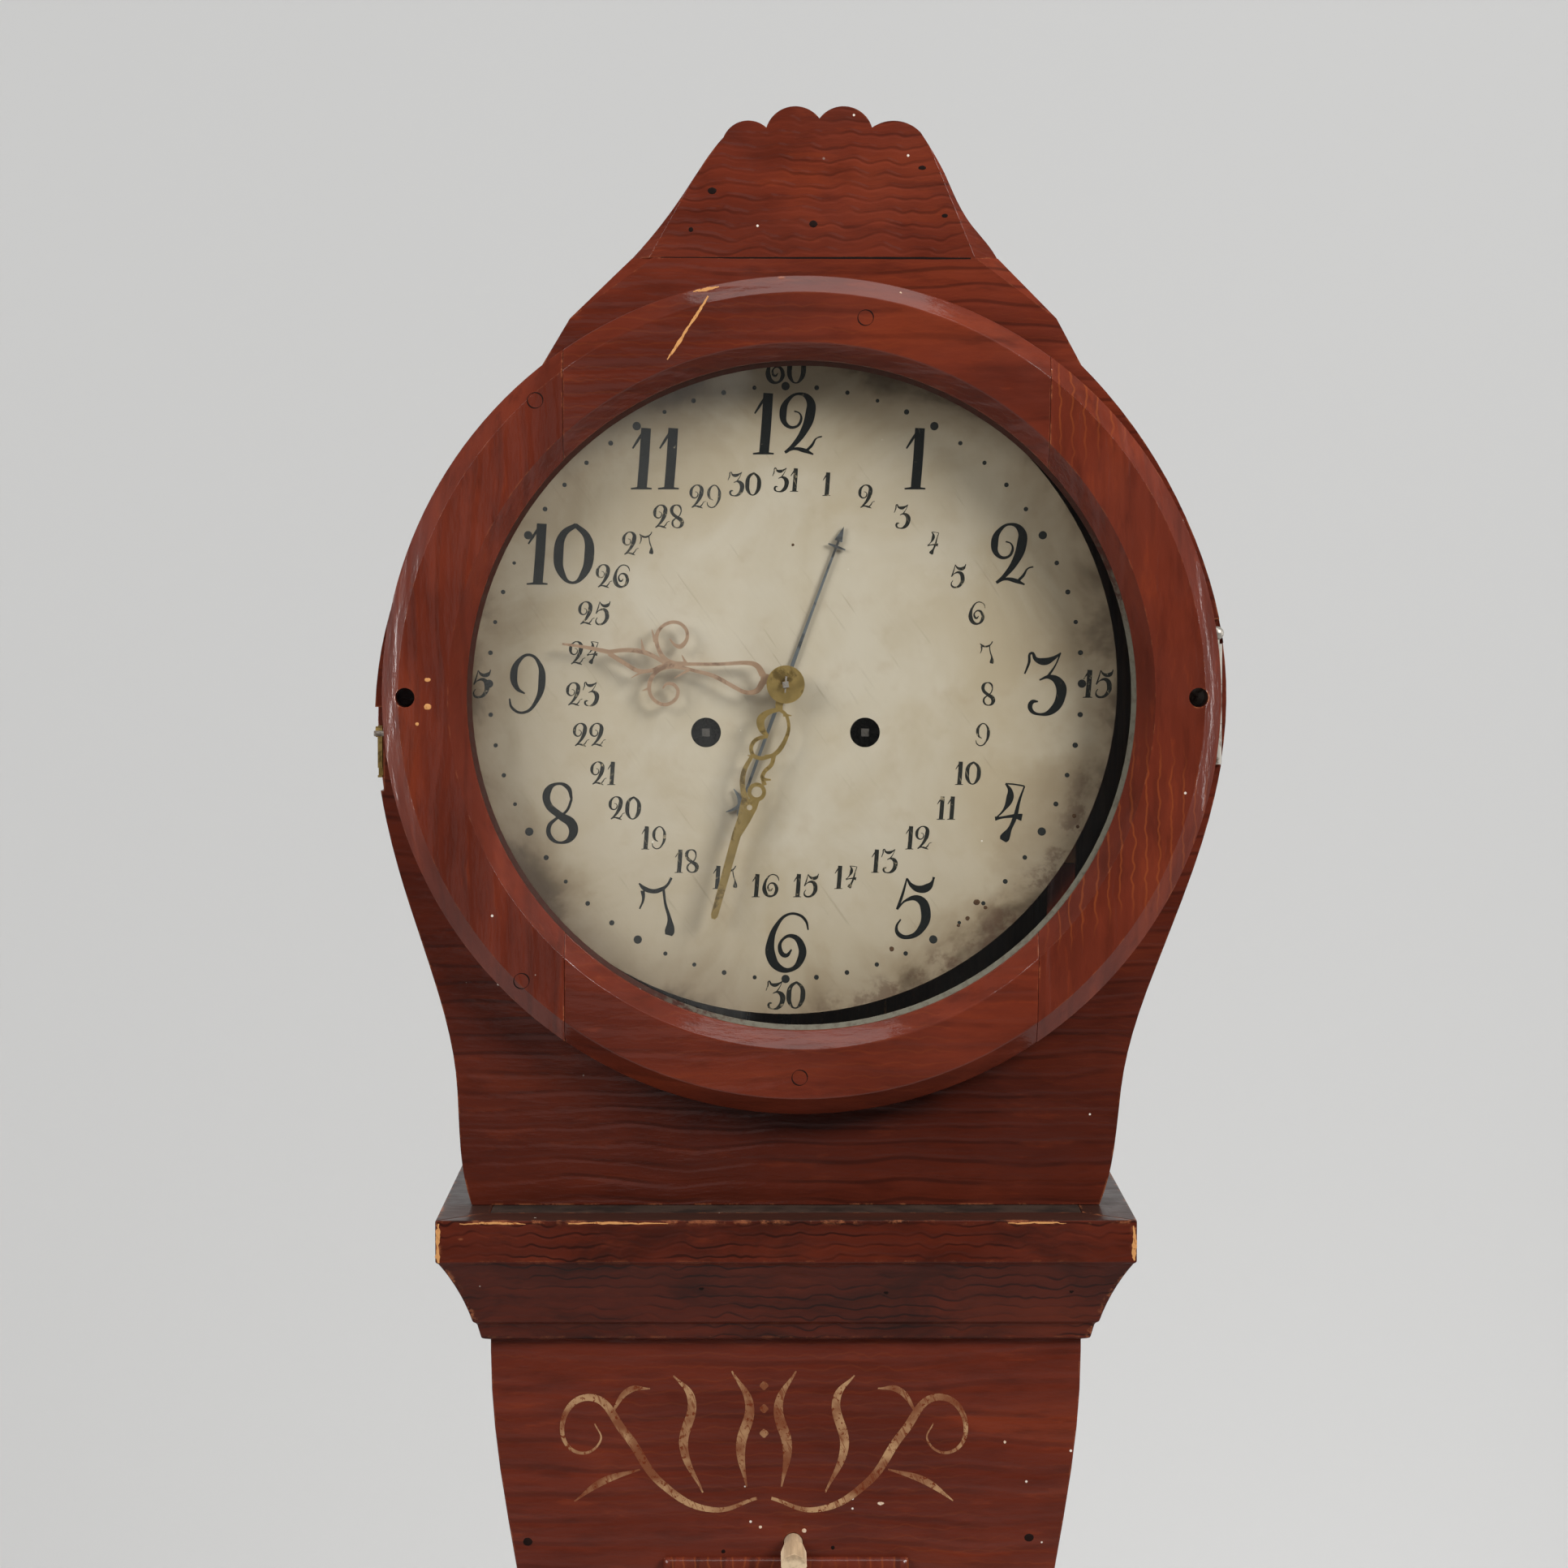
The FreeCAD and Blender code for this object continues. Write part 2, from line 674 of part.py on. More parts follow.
def moulding(label, section, half, face, reaches, low, height):
    """Mitred runs along the front and both sides of the case. The sizes are names in the sheets."""
    inner, front, bottom, tall = (getattr(S, name) for name in (half, face, low, height))
    out_x, out_y = (getattr(S, name) for name in reaches)
    top = bottom + tall
    outer, ahead, back = inner + out_x, front - out_y, S.back_y
    plans = {
        "front": ((-outer, ahead), (outer, ahead), (inner, front), (-inner, front)),
        "left": ((-outer, ahead), (-inner, front), (-inner, back), (-outer, back)),
        "right": ((outer, ahead), (outer, back), (inner, back), (inner, front)),
    }
    along = board(
        f"{label}_front_run",
        section(lambda out, down: (front - out * out_y, top - down * tall)),
        f"-({half} + {reaches[0]})",
        f"2 * ({half} + {reaches[0]})",
        "YZ",
    )
    runs = {"front": along}
    for name, side in (("left", -1), ("right", 1)):
        runs[name] = board(
            f"{label}_{name}_run",
            section(lambda out, down: (side * (inner + out * out_x), top - down * tall)),
            "back_y",
            f"back_y - {face} + {reaches[1]}",
        )
    return [
        shared(f"{label}_{name}", [run, board(f"{label}_{name}_plan", lines(plans[name]), low, height, "XY")])
        for name, run in runs.items()
    ]


def make_plinth():
    """The box that the trunk stands in, with a cut-out apron between two feet."""
    half, gap, rise, curl = S.plinth_half, S.plinth_half - S.foot_width, S.apron_rise, S.foot_curl
    top = S.plinth_height
    outline = path(((-gap, 0), (-half, 0), (-half, top), (half, top), (half, 0), (gap, 0)))
    lean = curl * (1 - math.sqrt(0.5))
    for side in (-1, 1):
        foot, head = (side * gap, rise - curl), (side * (gap - curl), rise)
        outline += path(((side * gap, 0), foot))
        outline += [arc(foot, (side * (gap - lean), rise - lean), head)]
    outline += path(((-(gap - curl), rise), (gap - curl, rise)))
    node("plinth_front", board("plinth_front", outline, "plinth_face + plinth_thick", "plinth_thick"))
    sides = [
        box(
            f"plinth_side_{name}",
            (corner, "plinth_face + plinth_thick", "0"),
            ("plinth_thick", "back_y - plinth_face - plinth_thick", "plinth_height"),
        )
        for name, corner in (("left", "-plinth_half"), ("right", "plinth_half - plinth_thick"))
    ]
    node("plinth_sides", group("plinth_sides", sides))
    reaches = ("moulding_reach_x", "moulding_reach_y")
    runs = moulding(
        "plinth_cap", plinth_section, "foot_half", "trunk_face", reaches, "plinth_height", "moulding_height"
    )
    node("plinth_moulding", group("plinth_moulding", runs))
    node("floor_board", box(
        "floor_board",
        ("plinth_thick - plinth_half", "plinth_face + plinth_thick", "floor_height"),
        ("2 * (plinth_half - plinth_thick)", "back_y - plinth_face - plinth_thick", "floor_thick"),
    ))


def make_trunk():
    """Front board with its door opening, shaped sides that rise as cheeks, and the backboard."""
    hole = S.door_half - S.door_lap
    opening = rectangle(-hole, S.door_foot_height + S.door_lap, hole, S.door_top_height - S.door_lap)
    peg_hole = circle(S.peg_side, S.door_top_height + S.peg_rise, S.peg_radius + S.pivot_fit)
    outline = trunk_outline(0) + opening + peg_hole
    node("trunk_front", board("trunk_front", outline, "trunk_inner", "front_thick"))
    for name, side, corner in (("left", -1, "-neck_half"), ("right", 1, "neck_half - side_thick")):
        shaped = board(f"side_{name}_shaped", side_outline(side), "back_y", "back_y - trunk_inner")
        cheek = box(
            f"side_{name}_cheek",
            (corner, "cheek_y", "platform_top - platform_thick"),
            ("side_thick", "back_inner - cheek_y", "seat_under - platform_top + platform_thick"),
        )
        node(f"trunk_{name}_side", join(f"trunk_{name}_side", [shaped, cheek]))
    lower = board("backboard_lower", trunk_outline(S.side_thick), "back_y", "back_thick")
    edge = S.hood_wall + S.slide_gap
    upper = board("backboard_upper", hood_outline(edge), "back_y", "back_thick")
    middle = box(
        "backboard_middle",
        ("side_thick - neck_half", "back_inner", "platform_top - platform_thick"),
        ("2 * (neck_half - side_thick)", "back_thick", "platform_thick + 2 * hood_wall"),
    )
    node("backboard", join("backboard", [lower, middle, upper]))


def make_cornice():
    """The moulding under the hood, and the platform that the hood slides on."""
    reaches = ("cornice_overhang", "cornice_overhang")
    front, left, right = moulding(
        "cornice", cornice_section, "neck_half", "trunk_face", reaches, "trunk_height", "cornice_height"
    )
    node("cornice_front", front)
    node("cornice_returns", group("cornice_returns", [left, right]))
    half, inner, cheek = S.neck_half, S.neck_half - S.side_thick, S.cheek_y
    plan = lines((
        (-half, S.trunk_face), (half, S.trunk_face), (half, cheek), (inner, cheek), (inner, S.back_inner),
        (-inner, S.back_inner), (-inner, cheek), (-half, cheek),
    ))
    hole = rectangle(
        -S.platform_hole_half, S.trunk_face + S.platform_hole_front,
        S.platform_hole_half, S.back_inner - S.platform_hole_back,
    )
    node("hood_platform", board(
        "hood_platform", plan + hole, "platform_top - platform_thick", "platform_thick", "XY"
    ))


def make_seat_board():
    """The board that carries the movement, resting on the two cheeks."""
    holes = []
    for side in (-1, 1):
        holes += circle(side * S.line_drum, S.line_y, S.seat_hole)
        holes += circle(side * S.line_tied, S.line_y, S.line_radius + S.line_clear)
    slot = S.seat_slot_half, S.seat_slot_reach
    holes += rectangle(-slot[0], S.pendulum_y - slot[1], slot[0], S.pendulum_y + slot[1])
    outline = rectangle(-S.neck_half, S.cheek_y, S.neck_half, S.back_inner)
    node("seat_board", board("seat_board", outline + holes, "seat_under", "seat_thick", "XY"))


def door_hinge(name, z, moving):
    """One leaf of a trunk door hinge with its knuckles round the pin's axis."""
    third = "door_hinge_tall / 3"
    low = f"{z} - door_hinge_tall / 2"
    spans = [(f"{low} + {third} + slide_gap", f"{third} - 2 * slide_gap")] if moving else [
        (low, third), (f"{low} + 2 * {third}", third)
    ]
    parts = []
    for index, (start, tall) in enumerate(spans):
        label = f"{name}_{index}"
        axis = "door_axis_x", "door_axis_y", start
        parts.append(rod(f"{label}_knuckle", axis, "door_knuckle", tall, "Z"))
        if moving:
            parts.append(box(
                f"{label}_web",
                ("door_half + leaf_thick / 2", "door_axis_y - leaf_thick / 2", start),
                ("door_axis_x - door_half - leaf_thick / 2 - pin_radius", "leaf_thick", tall),
            ))
        else:
            parts.append(box(
                f"{label}_web",
                ("door_axis_x - leaf_thick / 2", "door_axis_y + pin_radius", start),
                ("leaf_thick", "trunk_face - door_axis_y - pin_radius", tall),
            ))
    if moving:
        start, tall = spans[0]
        leaf = box(
            f"{name}_leaf",
            ("door_half", "trunk_face - door_edge + slide_gap", start),
            ("leaf_thick", "door_edge - 2 * slide_gap", tall),
        )
    else:
        leaf = box(
            f"{name}_leaf",
            ("door_axis_x - leaf_thick / 2", "trunk_face - leaf_thick", low),
            ("door_hinge_leaf", "leaf_thick", "door_hinge_tall"),
        )
    whole = join(f"{name}_solid", parts + [leaf])
    bore = rod(
        f"{name}_bore", ("door_axis_x", "door_axis_y", f"{low} - seat_hole"),
        "pin_radius + pivot_fit" if moving else "pin_radius", "door_hinge_tall + 2 * seat_hole", "Z",
    )
    return less(f"{name}_bored", whole, [bore])


def make_trunk_door():
    """Lipped door with a bevelled front, two hinges at its right edge and the peg above it."""
    lip = box(
        "door_lip",
        ("-door_half", "trunk_face - door_edge", "door_foot_height"),
        ("2 * door_half", "door_edge - slide_gap", "door_top_height - door_foot_height"),
    )
    bevel = doc.addObject("Part::Wedge", "door_bevelled_face")
    for prop, text in (
        ("Xmin", "door_bevel_run - door_half"), ("Xmax", "door_half - door_bevel_run"),
        ("Zmin", "door_foot_height + door_bevel_run"), ("Zmax", "door_top_height - door_bevel_run"),
        ("Ymin", "trunk_face - door_edge - door_bevel"), ("Ymax", "trunk_face - door_edge"),
        ("X2min", "-door_half"), ("X2max", "door_half"),
        ("Z2min", "door_foot_height"), ("Z2max", "door_top_height"),
    ):
        bind(bevel, prop, text)
    inset = "(door_lap + door_gap)"
    panel = box(
        "door_panel",
        (f"{inset} - door_half", "trunk_face - slide_gap", f"door_foot_height + {inset}"),
        (f"2 * (door_half - {inset})", "door_panel_thick + slide_gap",
         f"door_top_height - door_foot_height - 2 * ({inset})"),
    )
    node("trunk_door", join("trunk_door", [lip, bevel, panel]))
    heights = {
        "upper": "door_top_height - door_hinge_rise",
        "lower": "door_foot_height + door_hinge_rise",
    }
    case_side, door_side = [], []
    for name, z in heights.items():
        case_side.append(door_hinge(f"hinge_{name}_case", z, False))
        door_side.append(door_hinge(f"hinge_{name}_door", z, True))
        case_side.append(rod(
            f"hinge_{name}_pin", ("door_axis_x", "door_axis_y", f"{z} - door_hinge_tall / 2"),
            "pin_radius", "door_hinge_tall", "Z",
        ))
    node("trunk_hinge_case_leaves", group("trunk_hinge_case_leaves", case_side))
    node("trunk_hinge_door_leaves", group("trunk_hinge_door_leaves", door_side))
    z = "door_top_height + peg_rise"
    shank = rod(
        "peg_shank", ("peg_side", "trunk_face - peg_reach + peg_head_length", z),
        "peg_radius", "peg_reach - peg_head_length + front_thick + peg_tail",
    )
    corners = [
        (S.peg_side + S.peg_head_radius * math.cos(math.tau * turn / PEG_SIDES),
         S.door_top_height + S.peg_rise + S.peg_head_radius * math.sin(math.tau * turn / PEG_SIDES))
        for turn in range(PEG_SIDES)
    ]
    head = board("peg_head", lines(corners), "trunk_face - peg_reach + peg_head_length", "peg_head_length")
    node("door_peg", join("door_peg", [shank, head]))


# Hood


def normal_at(points, index):
    """The unit normal, on the left of the way the points run, at one of them."""
    before, after = points[max(index - 1, 0)], points[min(index + 1, len(points) - 1)]
    dx, dz = after[0] - before[0], after[1] - before[1]
    size = math.hypot(dx, dz)
    return -dz / size, dx / size


def lean(rise):
    """How far the head has crept to the right at a height above the hood's bottom."""
    return S.crest_shift * rise / S.hood_height


def hood_outline(inset):
    """The hood seen from the front: slanting cheeks, a round over them and a square-eared top."""
    base, centre = S.hood_bottom, S.bezel_rise
    outer = [(share * S.hood_half, rise * centre) for rise, share in HOOD_SIDE_SHARES]
    foot = outer[0][0] - inset
    bow = [(foot, 0)]
    for index in range(1, len(outer)):
        inwards, upwards = normal_at(outer, index)
        bow.append((outer[index][0] + inwards * inset, outer[index][1] + upwards * inset))

    def at(side, half, rise):
        return side * half + lean(rise), base + rise

    edges = []
    for side in (-1, 1):
        edges.append(spline([at(side, *point) for point in bow]))
        edges += path((
            at(side, *bow[-1]),
            at(side, S.ear_half - inset, centre + S.ear_rise - inset),
            at(side, S.corner_half - inset, centre + S.corner_rise - inset),
            at(side, S.seam_half - inset * SEAM_INSET_SHARE, centre + S.seam_rise - inset),
        ))
    top = centre + S.seam_rise - inset
    half = S.seam_half - inset * SEAM_INSET_SHARE
    edges += path((at(-1, foot, 0), at(1, foot, 0))) + path((at(-1, half, top), at(1, half, top)))
    return edges


def crest_outline():
    """The crest: hollow flanks under a row of four lobes."""
    base = S.hood_bottom + S.bezel_rise + S.seam_rise

    def at(side, half, rise):
        height = rise * S.crest_height
        return side * half * S.crest_half + lean(base + height - S.hood_bottom), base + height

    edges = path((at(-1, 1, 0), at(1, 1, 0)))
    for side in (-1, 1):
        flank = [at(side, half, rise) for half, rise in CREST_SIDE_SHARES[side]]
        edges.append(spline(flank))
        last = flank[-1]
        for peak, peak_rise, foot, foot_rise in LOBE_SHARES:
            end = at(side, foot, foot_rise)
            edges.append(arc(last, at(side, peak, peak_rise), end))
            last = end
    return edges


def make_hood():
    """Front board, two bent walls, the roof and the crest, all sliding off forwards."""
    opening = circle(S.bezel_x, S.bezel_z, S.hood_hole_radius)
    face = board("hood_front_blank", hood_outline(0) + opening, "hood_inner", "hood_board_thick")
    tall = "bezel_hinge_tall + 4 * slide_gap"
    hinge_low = "bezel_hinge_z - bezel_hinge_tall / 2 - 2 * slide_gap"
    swing = "(bezel_knuckle + 2 * slide_gap)"
    hinge_seat = box(
        "hood_hinge_seat",
        (f"bezel_axis_x - {swing}", "hood_face", hinge_low),
        (f"4 * ({swing})", "bezel_knuckle", tall),
    )
    pocket = box(
        "hood_hook_recess",
        ("bezel_x - hood_half - hook_recess", "hood_face", "hook_z - hook_length - hook_width"),
        ("2 * hook_recess", "hood_board_thick", "hook_length + 3 * hook_width"),
    )
    pivot = rod(
        "hood_hook_hole", ("bezel_x - hood_half - hook_recess", "hook_y", "hook_z"),
        "pin_radius + pivot_fit", "4 * hook_recess", "X",
    )
    finial_room = rod(
        "hood_finial_room", ("bezel_axis_x", "bezel_axis_y", "bezel_hinge_z"),
        "finial_radius + slide_gap", "bezel_hinge_tall / 2 + finial_neck + 3 * finial_radius", "Z",
    )
    node("hood_front_board", less("hood_front_board", face, [hinge_seat, finial_room, pocket, pivot]))
    shell = less("hood_shell", board("hood_shell_blank", hood_outline(0), "back_y", "back_y - hood_inner"), [
        board("hood_shell_core", hood_outline(S.hood_wall), "back_y", "back_y - hood_inner"),
    ])
    split = "bezel_z + ear_rise - hood_wall"
    for name, corner in (("left", "bezel_x - hood_half - hood_wall"), ("right", "bezel_x")):
        region = box(
            f"hood_{name}_region",
            (corner, "hood_inner", "hood_bottom"),
            ("hood_half + hood_wall", "back_y - hood_inner", f"{split} - hood_bottom"),
        )
        node(f"hood_{name}_wall", shared(f"hood_{name}_wall", [shell, region]))
    roof_region = box(
        "hood_roof_region",
        ("bezel_x - hood_half", "hood_inner", split),
        ("2 * hood_half", "back_y - hood_inner", "hood_half"),
    )
    node("hood_roof_board", shared("hood_roof_board", [shell, roof_region]))
    node("crest_board", board("crest_board", crest_outline(), "hood_inner", "crest_thick"))


def make_bezel():
    """The round glazed door: a ring of four boards, its pane and putty, hinge and catch pin."""
    outer, flat, opening, front, back = (
        S.bezel_radius, S.bezel_flat_radius, S.bezel_opening, S.bezel_front, S.bezel_back
    )
    ledge, rebate = front + S.glass_ledge_depth, S.glass_radius + S.slide_gap
    ring = turned("bezel_ring", lines((
        (outer, back), (outer, front + S.bezel_chamfer_depth), (outer - S.bezel_chamfer, front),
        (flat, front), (opening, front + S.bezel_bevel_depth), (opening, ledge),
        (rebate, ledge), (rebate, back),
    )), ("bezel_x", "0", "bezel_z"))
    x, z, left, right, slant = S.bezel_x, S.bezel_z, S.left_joint, S.right_joint, S.joint_slant
    far = S.hood_half + S.hood_wall
    low_right, high_right = x + right - slant, x + right + slant
    plans = {
        "left": ((x - far, z - far), (x - left, z - far), (x - left, z + far), (x - far, z + far)),
        "right": ((low_right, z - far), (x + far, z - far), (x + far, z + far), (high_right, z + far)),
        "top": ((x - left, z), (x + right, z), (high_right, z + far), (x - left, z + far)),
        "bottom": ((x - left, z - far), (low_right, z - far), (x + right, z), (x - left, z)),
    }
    finger_holes = [
        rod(f"ring_hole_{name}", (f"bezel_x {sign} ring_hole_offset", "bezel_front - seat_hole", "bezel_z"),
            "ring_hole_radius", "bezel_thick + 2 * seat_hole")
        for name, sign in (("left", "-"), ("right", "+"))
    ]
    tall = "bezel_hinge_tall + 4 * slide_gap"
    low = "bezel_hinge_z - bezel_hinge_tall / 2 - 2 * slide_gap"
    leaf_seat = box(
        "ring_leaf_seat",
        ("bezel_axis_x - bezel_leaf - slide_gap", "bezel_back - 2 * leaf_thick", low),
        ("bezel_leaf + hood_wall", "3 * leaf_thick", tall),
    )
    swing = "(bezel_knuckle + 2 * slide_gap)"
    knuckle_seat = box(
        "ring_knuckle_seat",
        (f"bezel_axis_x - {swing}", f"bezel_axis_y - {swing}", low),
        (f"4 * ({swing})", f"2 * ({swing})", tall),
    )
    ball_room = rod(
        "ring_finial_room", ("bezel_axis_x", "bezel_axis_y", "bezel_hinge_z"),
        "finial_radius + slide_gap", "bezel_hinge_tall / 2 + finial_neck + 3 * finial_radius", "Z",
    )
    catch_hole = rod(
        "ring_catch_hole", ("bezel_x - bezel_radius", "catch_y", "hook_z"),
        "catch_radius", "3 * hook_recess", "X",
    )
    tools = {
        "left": [finger_holes[0], catch_hole],
        "right": [finger_holes[1], leaf_seat, knuckle_seat, ball_room],
    }
    for name, plan in plans.items():
        region = board(
            f"bezel_{name}_plan", lines(plan), "bezel_back + hood_wall", "bezel_thick + 2 * hood_wall"
        )
        piece = shared(f"bezel_{name}_blank", [ring, region])
        if name in tools:
            piece = less(f"bezel_{name}_cut", piece, tools[name])
        node(f"bezel_{name}_board", piece)
    node("bezel_glass", rod(
        "bezel_glass", ("bezel_x", "bezel_front + glass_ledge_depth", "bezel_z"),
        "glass_radius", "glass_thick",
    ))
    pane_back = ledge + S.glass_thick
    seal = turned("putty_behind", lines((
        (rebate, pane_back), (rebate, pane_back + S.putty_width), (rebate - S.putty_width, pane_back),
    )), ("bezel_x", "0", "bezel_z"))
    bead = turned("putty_before", lines((
        (opening, ledge), (opening - S.putty_width, ledge), (opening, ledge - S.putty_width),
    )), ("bezel_x", "0", "bezel_z"))
    node("glass_putty", group("glass_putty", [seal, bead]))
    make_bezel_hinge()
    node("hook_catch_pin", rod(
        "hook_catch_pin", ("bezel_x - hood_half", "catch_y", "hook_z"),
        "catch_radius", "hood_half - bezel_radius + 3 * hook_recess", "X",
    ))


def make_bezel_hinge():
    """A butt hinge behind the ring's right edge, with a ball-ended pin."""
    third = "bezel_hinge_tall / 3"
    low = "bezel_hinge_z - bezel_hinge_tall / 2"
    knuckle = "bezel_knuckle"
    bores = {
        name: rod(
            f"bezel_hinge_{name}_bore", ("bezel_axis_x", "bezel_axis_y", f"{low} - seat_hole"),
            radius, "bezel_hinge_tall + 2 * seat_hole", "Z",
        )
        for name, radius in (("loose", "pin_radius + pivot_fit"), ("tight", "pin_radius"))
    }
    middle = (f"{low} + {third} + slide_gap", f"{third} - 2 * slide_gap")
    ring_leaf = join("ring_leaf_solid", [
        rod("ring_leaf_knuckle", ("bezel_axis_x", "bezel_axis_y", middle[0]), knuckle, middle[1], "Z"),
        box(
            "ring_leaf_plate",
            ("bezel_axis_x - bezel_leaf", "bezel_back - 2 * leaf_thick", low),
            (f"bezel_leaf - {knuckle} - slide_gap", "leaf_thick - slide_gap", "bezel_hinge_tall"),
        ),
        box(
            "ring_leaf_tongue",
            (f"bezel_axis_x - {knuckle} - 2 * slide_gap", "bezel_back - 2 * leaf_thick", middle[0]),
            (knuckle, "leaf_thick - slide_gap", middle[1]),
        ),
    ])
    node("bezel_hinge_ring_leaf", less("bezel_hinge_ring_leaf", ring_leaf, [bores["loose"]]))
    plate = box(
        "hood_leaf_plate",
        ("bezel_axis_x - bezel_leaf", "hood_face - leaf_thick + slide_gap", low),
        (f"bezel_leaf - {knuckle} - slide_gap", "leaf_thick - slide_gap", "bezel_hinge_tall"),
    )
    parts = [plate]
    for name, start in (("low", low), ("high", f"{low} + 2 * {third}")):
        axis = "bezel_axis_x", "bezel_axis_y", start
        parts.append(rod(f"hood_leaf_knuckle_{name}", axis, knuckle, third, "Z"))
        parts.append(box(
            f"hood_leaf_tongue_{name}",
            (f"bezel_axis_x - {knuckle} - 2 * slide_gap", "hood_face - leaf_thick + slide_gap", start),
            (knuckle, "leaf_thick - slide_gap", third),
        ))
    whole = join("hood_leaf_solid", parts)
    node("bezel_hinge_hood_leaf", less("bezel_hinge_hood_leaf", whole, [bores["tight"]]))
    top = "bezel_hinge_z + bezel_hinge_tall / 2"
    ball = doc.addObject("Part::Sphere", "finial_ball")
    bind(ball, "Radius", "finial_radius")
    place(ball, ("bezel_axis_x", "bezel_axis_y", f"{top} + finial_neck + finial_radius"))
    pin = rod(
        "bezel_pin_shaft", ("bezel_axis_x", "bezel_axis_y", low),
        "pin_radius", "bezel_hinge_tall + finial_neck + finial_radius", "Z",
    )
    node("bezel_hinge_pin", join("bezel_hinge_pin", [pin, ball]))


def make_hook():
    """A notched strap that hangs from its screw beside the ring and turns up over the catch pin."""
    side = "bezel_x - hood_half + slide_gap"
    strap = box(
        "hook_strap",
        (side, "hook_y - hook_width / 2", "hook_z - hook_length"),
        ("hook_thick", "hook_width", "hook_length"),
    )
    eye = rod("hook_eye", (side, "hook_y", "hook_z"), "hook_width / 2", "hook_thick", "X")
    catch = "hook_z - (hook_y - catch_y)"
    notch = box(
        "hook_notch",
        (f"{side} - hook_thick", "hook_y - hook_width", f"{catch} - catch_radius - hook_play"),
        ("3 * hook_thick", "hook_width + catch_radius + pivot_fit", "2 * (catch_radius + hook_play)"),
    )
    screw = rod("hook_screw", (side, "hook_y", "hook_z"), "pin_radius", "2 * hook_recess", "X")
    cap = rod(
        "hook_screw_head", (f"{side} - hook_thick / 2", "hook_y", "hook_z"),
        "2 * pin_radius", "hook_thick / 2", "X",
    )
    strap = less("hook_notched", join("hook_blank", [strap, eye]), [notch])
    node("bezel_hook", join("bezel_hook", [strap, screw, cap]))


# Movement


def tooth_ring(x, z, teeth, module, shares, phase):
    """The outline of a wheel with straight-sided teeth; `phase` is the direction of its first tooth."""
    pitch = math.tau / teeth
    radius = teeth * module / 2
    tip, root = radius + shares["add"] * module, radius - shares["ded"] * module
    top, foot = shares["tip"] / 2, shares["root"] / 2
    points = []
    for tooth in range(teeth):
        middle = phase + tooth * pitch
        for across, reach in ((-foot, root), (-top, tip), (top, tip), (foot, root)):
            angle = middle + across * pitch
            points.append((x + reach * math.cos(angle), z + reach * math.sin(angle)))
    return lines(points)


def saw_ring(x, z, teeth, radius, depth, phase):
    """The outline of an escape wheel: slender teeth that lean with its turning."""
    pitch = math.tau / teeth
    points = []
    for tooth in range(teeth):
        middle = phase + tooth * pitch
        for across, reach in ESCAPE_TOOTH_SHARES:
            angle = middle + across * pitch
            far = radius - reach * depth
            points.append((x + far * math.cos(angle), z + far * math.sin(angle)))
    return lines(points)


def crossings(x, z, inner, outer, arms, width, phase):
    """The windows between a wheel's arms."""
    edges = []
    for arm in range(arms):
        first, last = phase + arm * math.tau / arms, phase + (arm + 1) * math.tau / arms
        a0, a1 = first + width / 2 / inner, last - width / 2 / inner
        b0, b1 = first + width / 2 / outer, last - width / 2 / outer
        corner = [
            (x + r * math.cos(a), z + r * math.sin(a))
            for r, a in ((inner, a0), (outer, b0), (outer, b1), (inner, a1))
        ]
        edges += path(corner[:2]) + [ring_arc(x, z, outer, b0, b1)]
        edges += path(corner[2:]) + [ring_arc(x, z, inner, a0, a1)]
    return edges


def wheel(label, at, teeth, module, back, bore=0.0, arms=WHEEL_ARMS, phase=0.0):
    """A crossed-out wheel whose back face is at y = back."""
    rim = teeth * module / 2 * RIM_SHARE
    hub = max(bore, S.small_arbor) + S.hub_radius
    outline = tooth_ring(at.x, at.z, teeth, module, WHEEL_TOOTH_SHARES, phase)
    outline += crossings(at.x, at.z, hub, rim, arms, teeth * module * ARM_SHARE, phase)
    if bore:
        outline += circle(at.x, at.z, bore)
    return board(label, outline, back, "wheel_thick")


def pinion(label, at, teeth, module, back, length, bore=0.0, phase=0.0):
    """A solid pinion whose back end is at y = back."""
    outline = tooth_ring(at.x, at.z, teeth, module, PINION_TOOTH_SHARES, phase)
    if bore:
        outline += circle(at.x, at.z, bore)
    return board(label, outline, back, length)


def toward(a, b):
    """The direction from one arbor to another, in radians."""
    return math.atan2(b.z - a.z, b.x - a.x)


def arbor(label, at, radius, start, end):
    """A round bar along Y between two planes given by name."""
    return rod(label, (at.across, start, at.up), radius, f"{end} - ({start})")


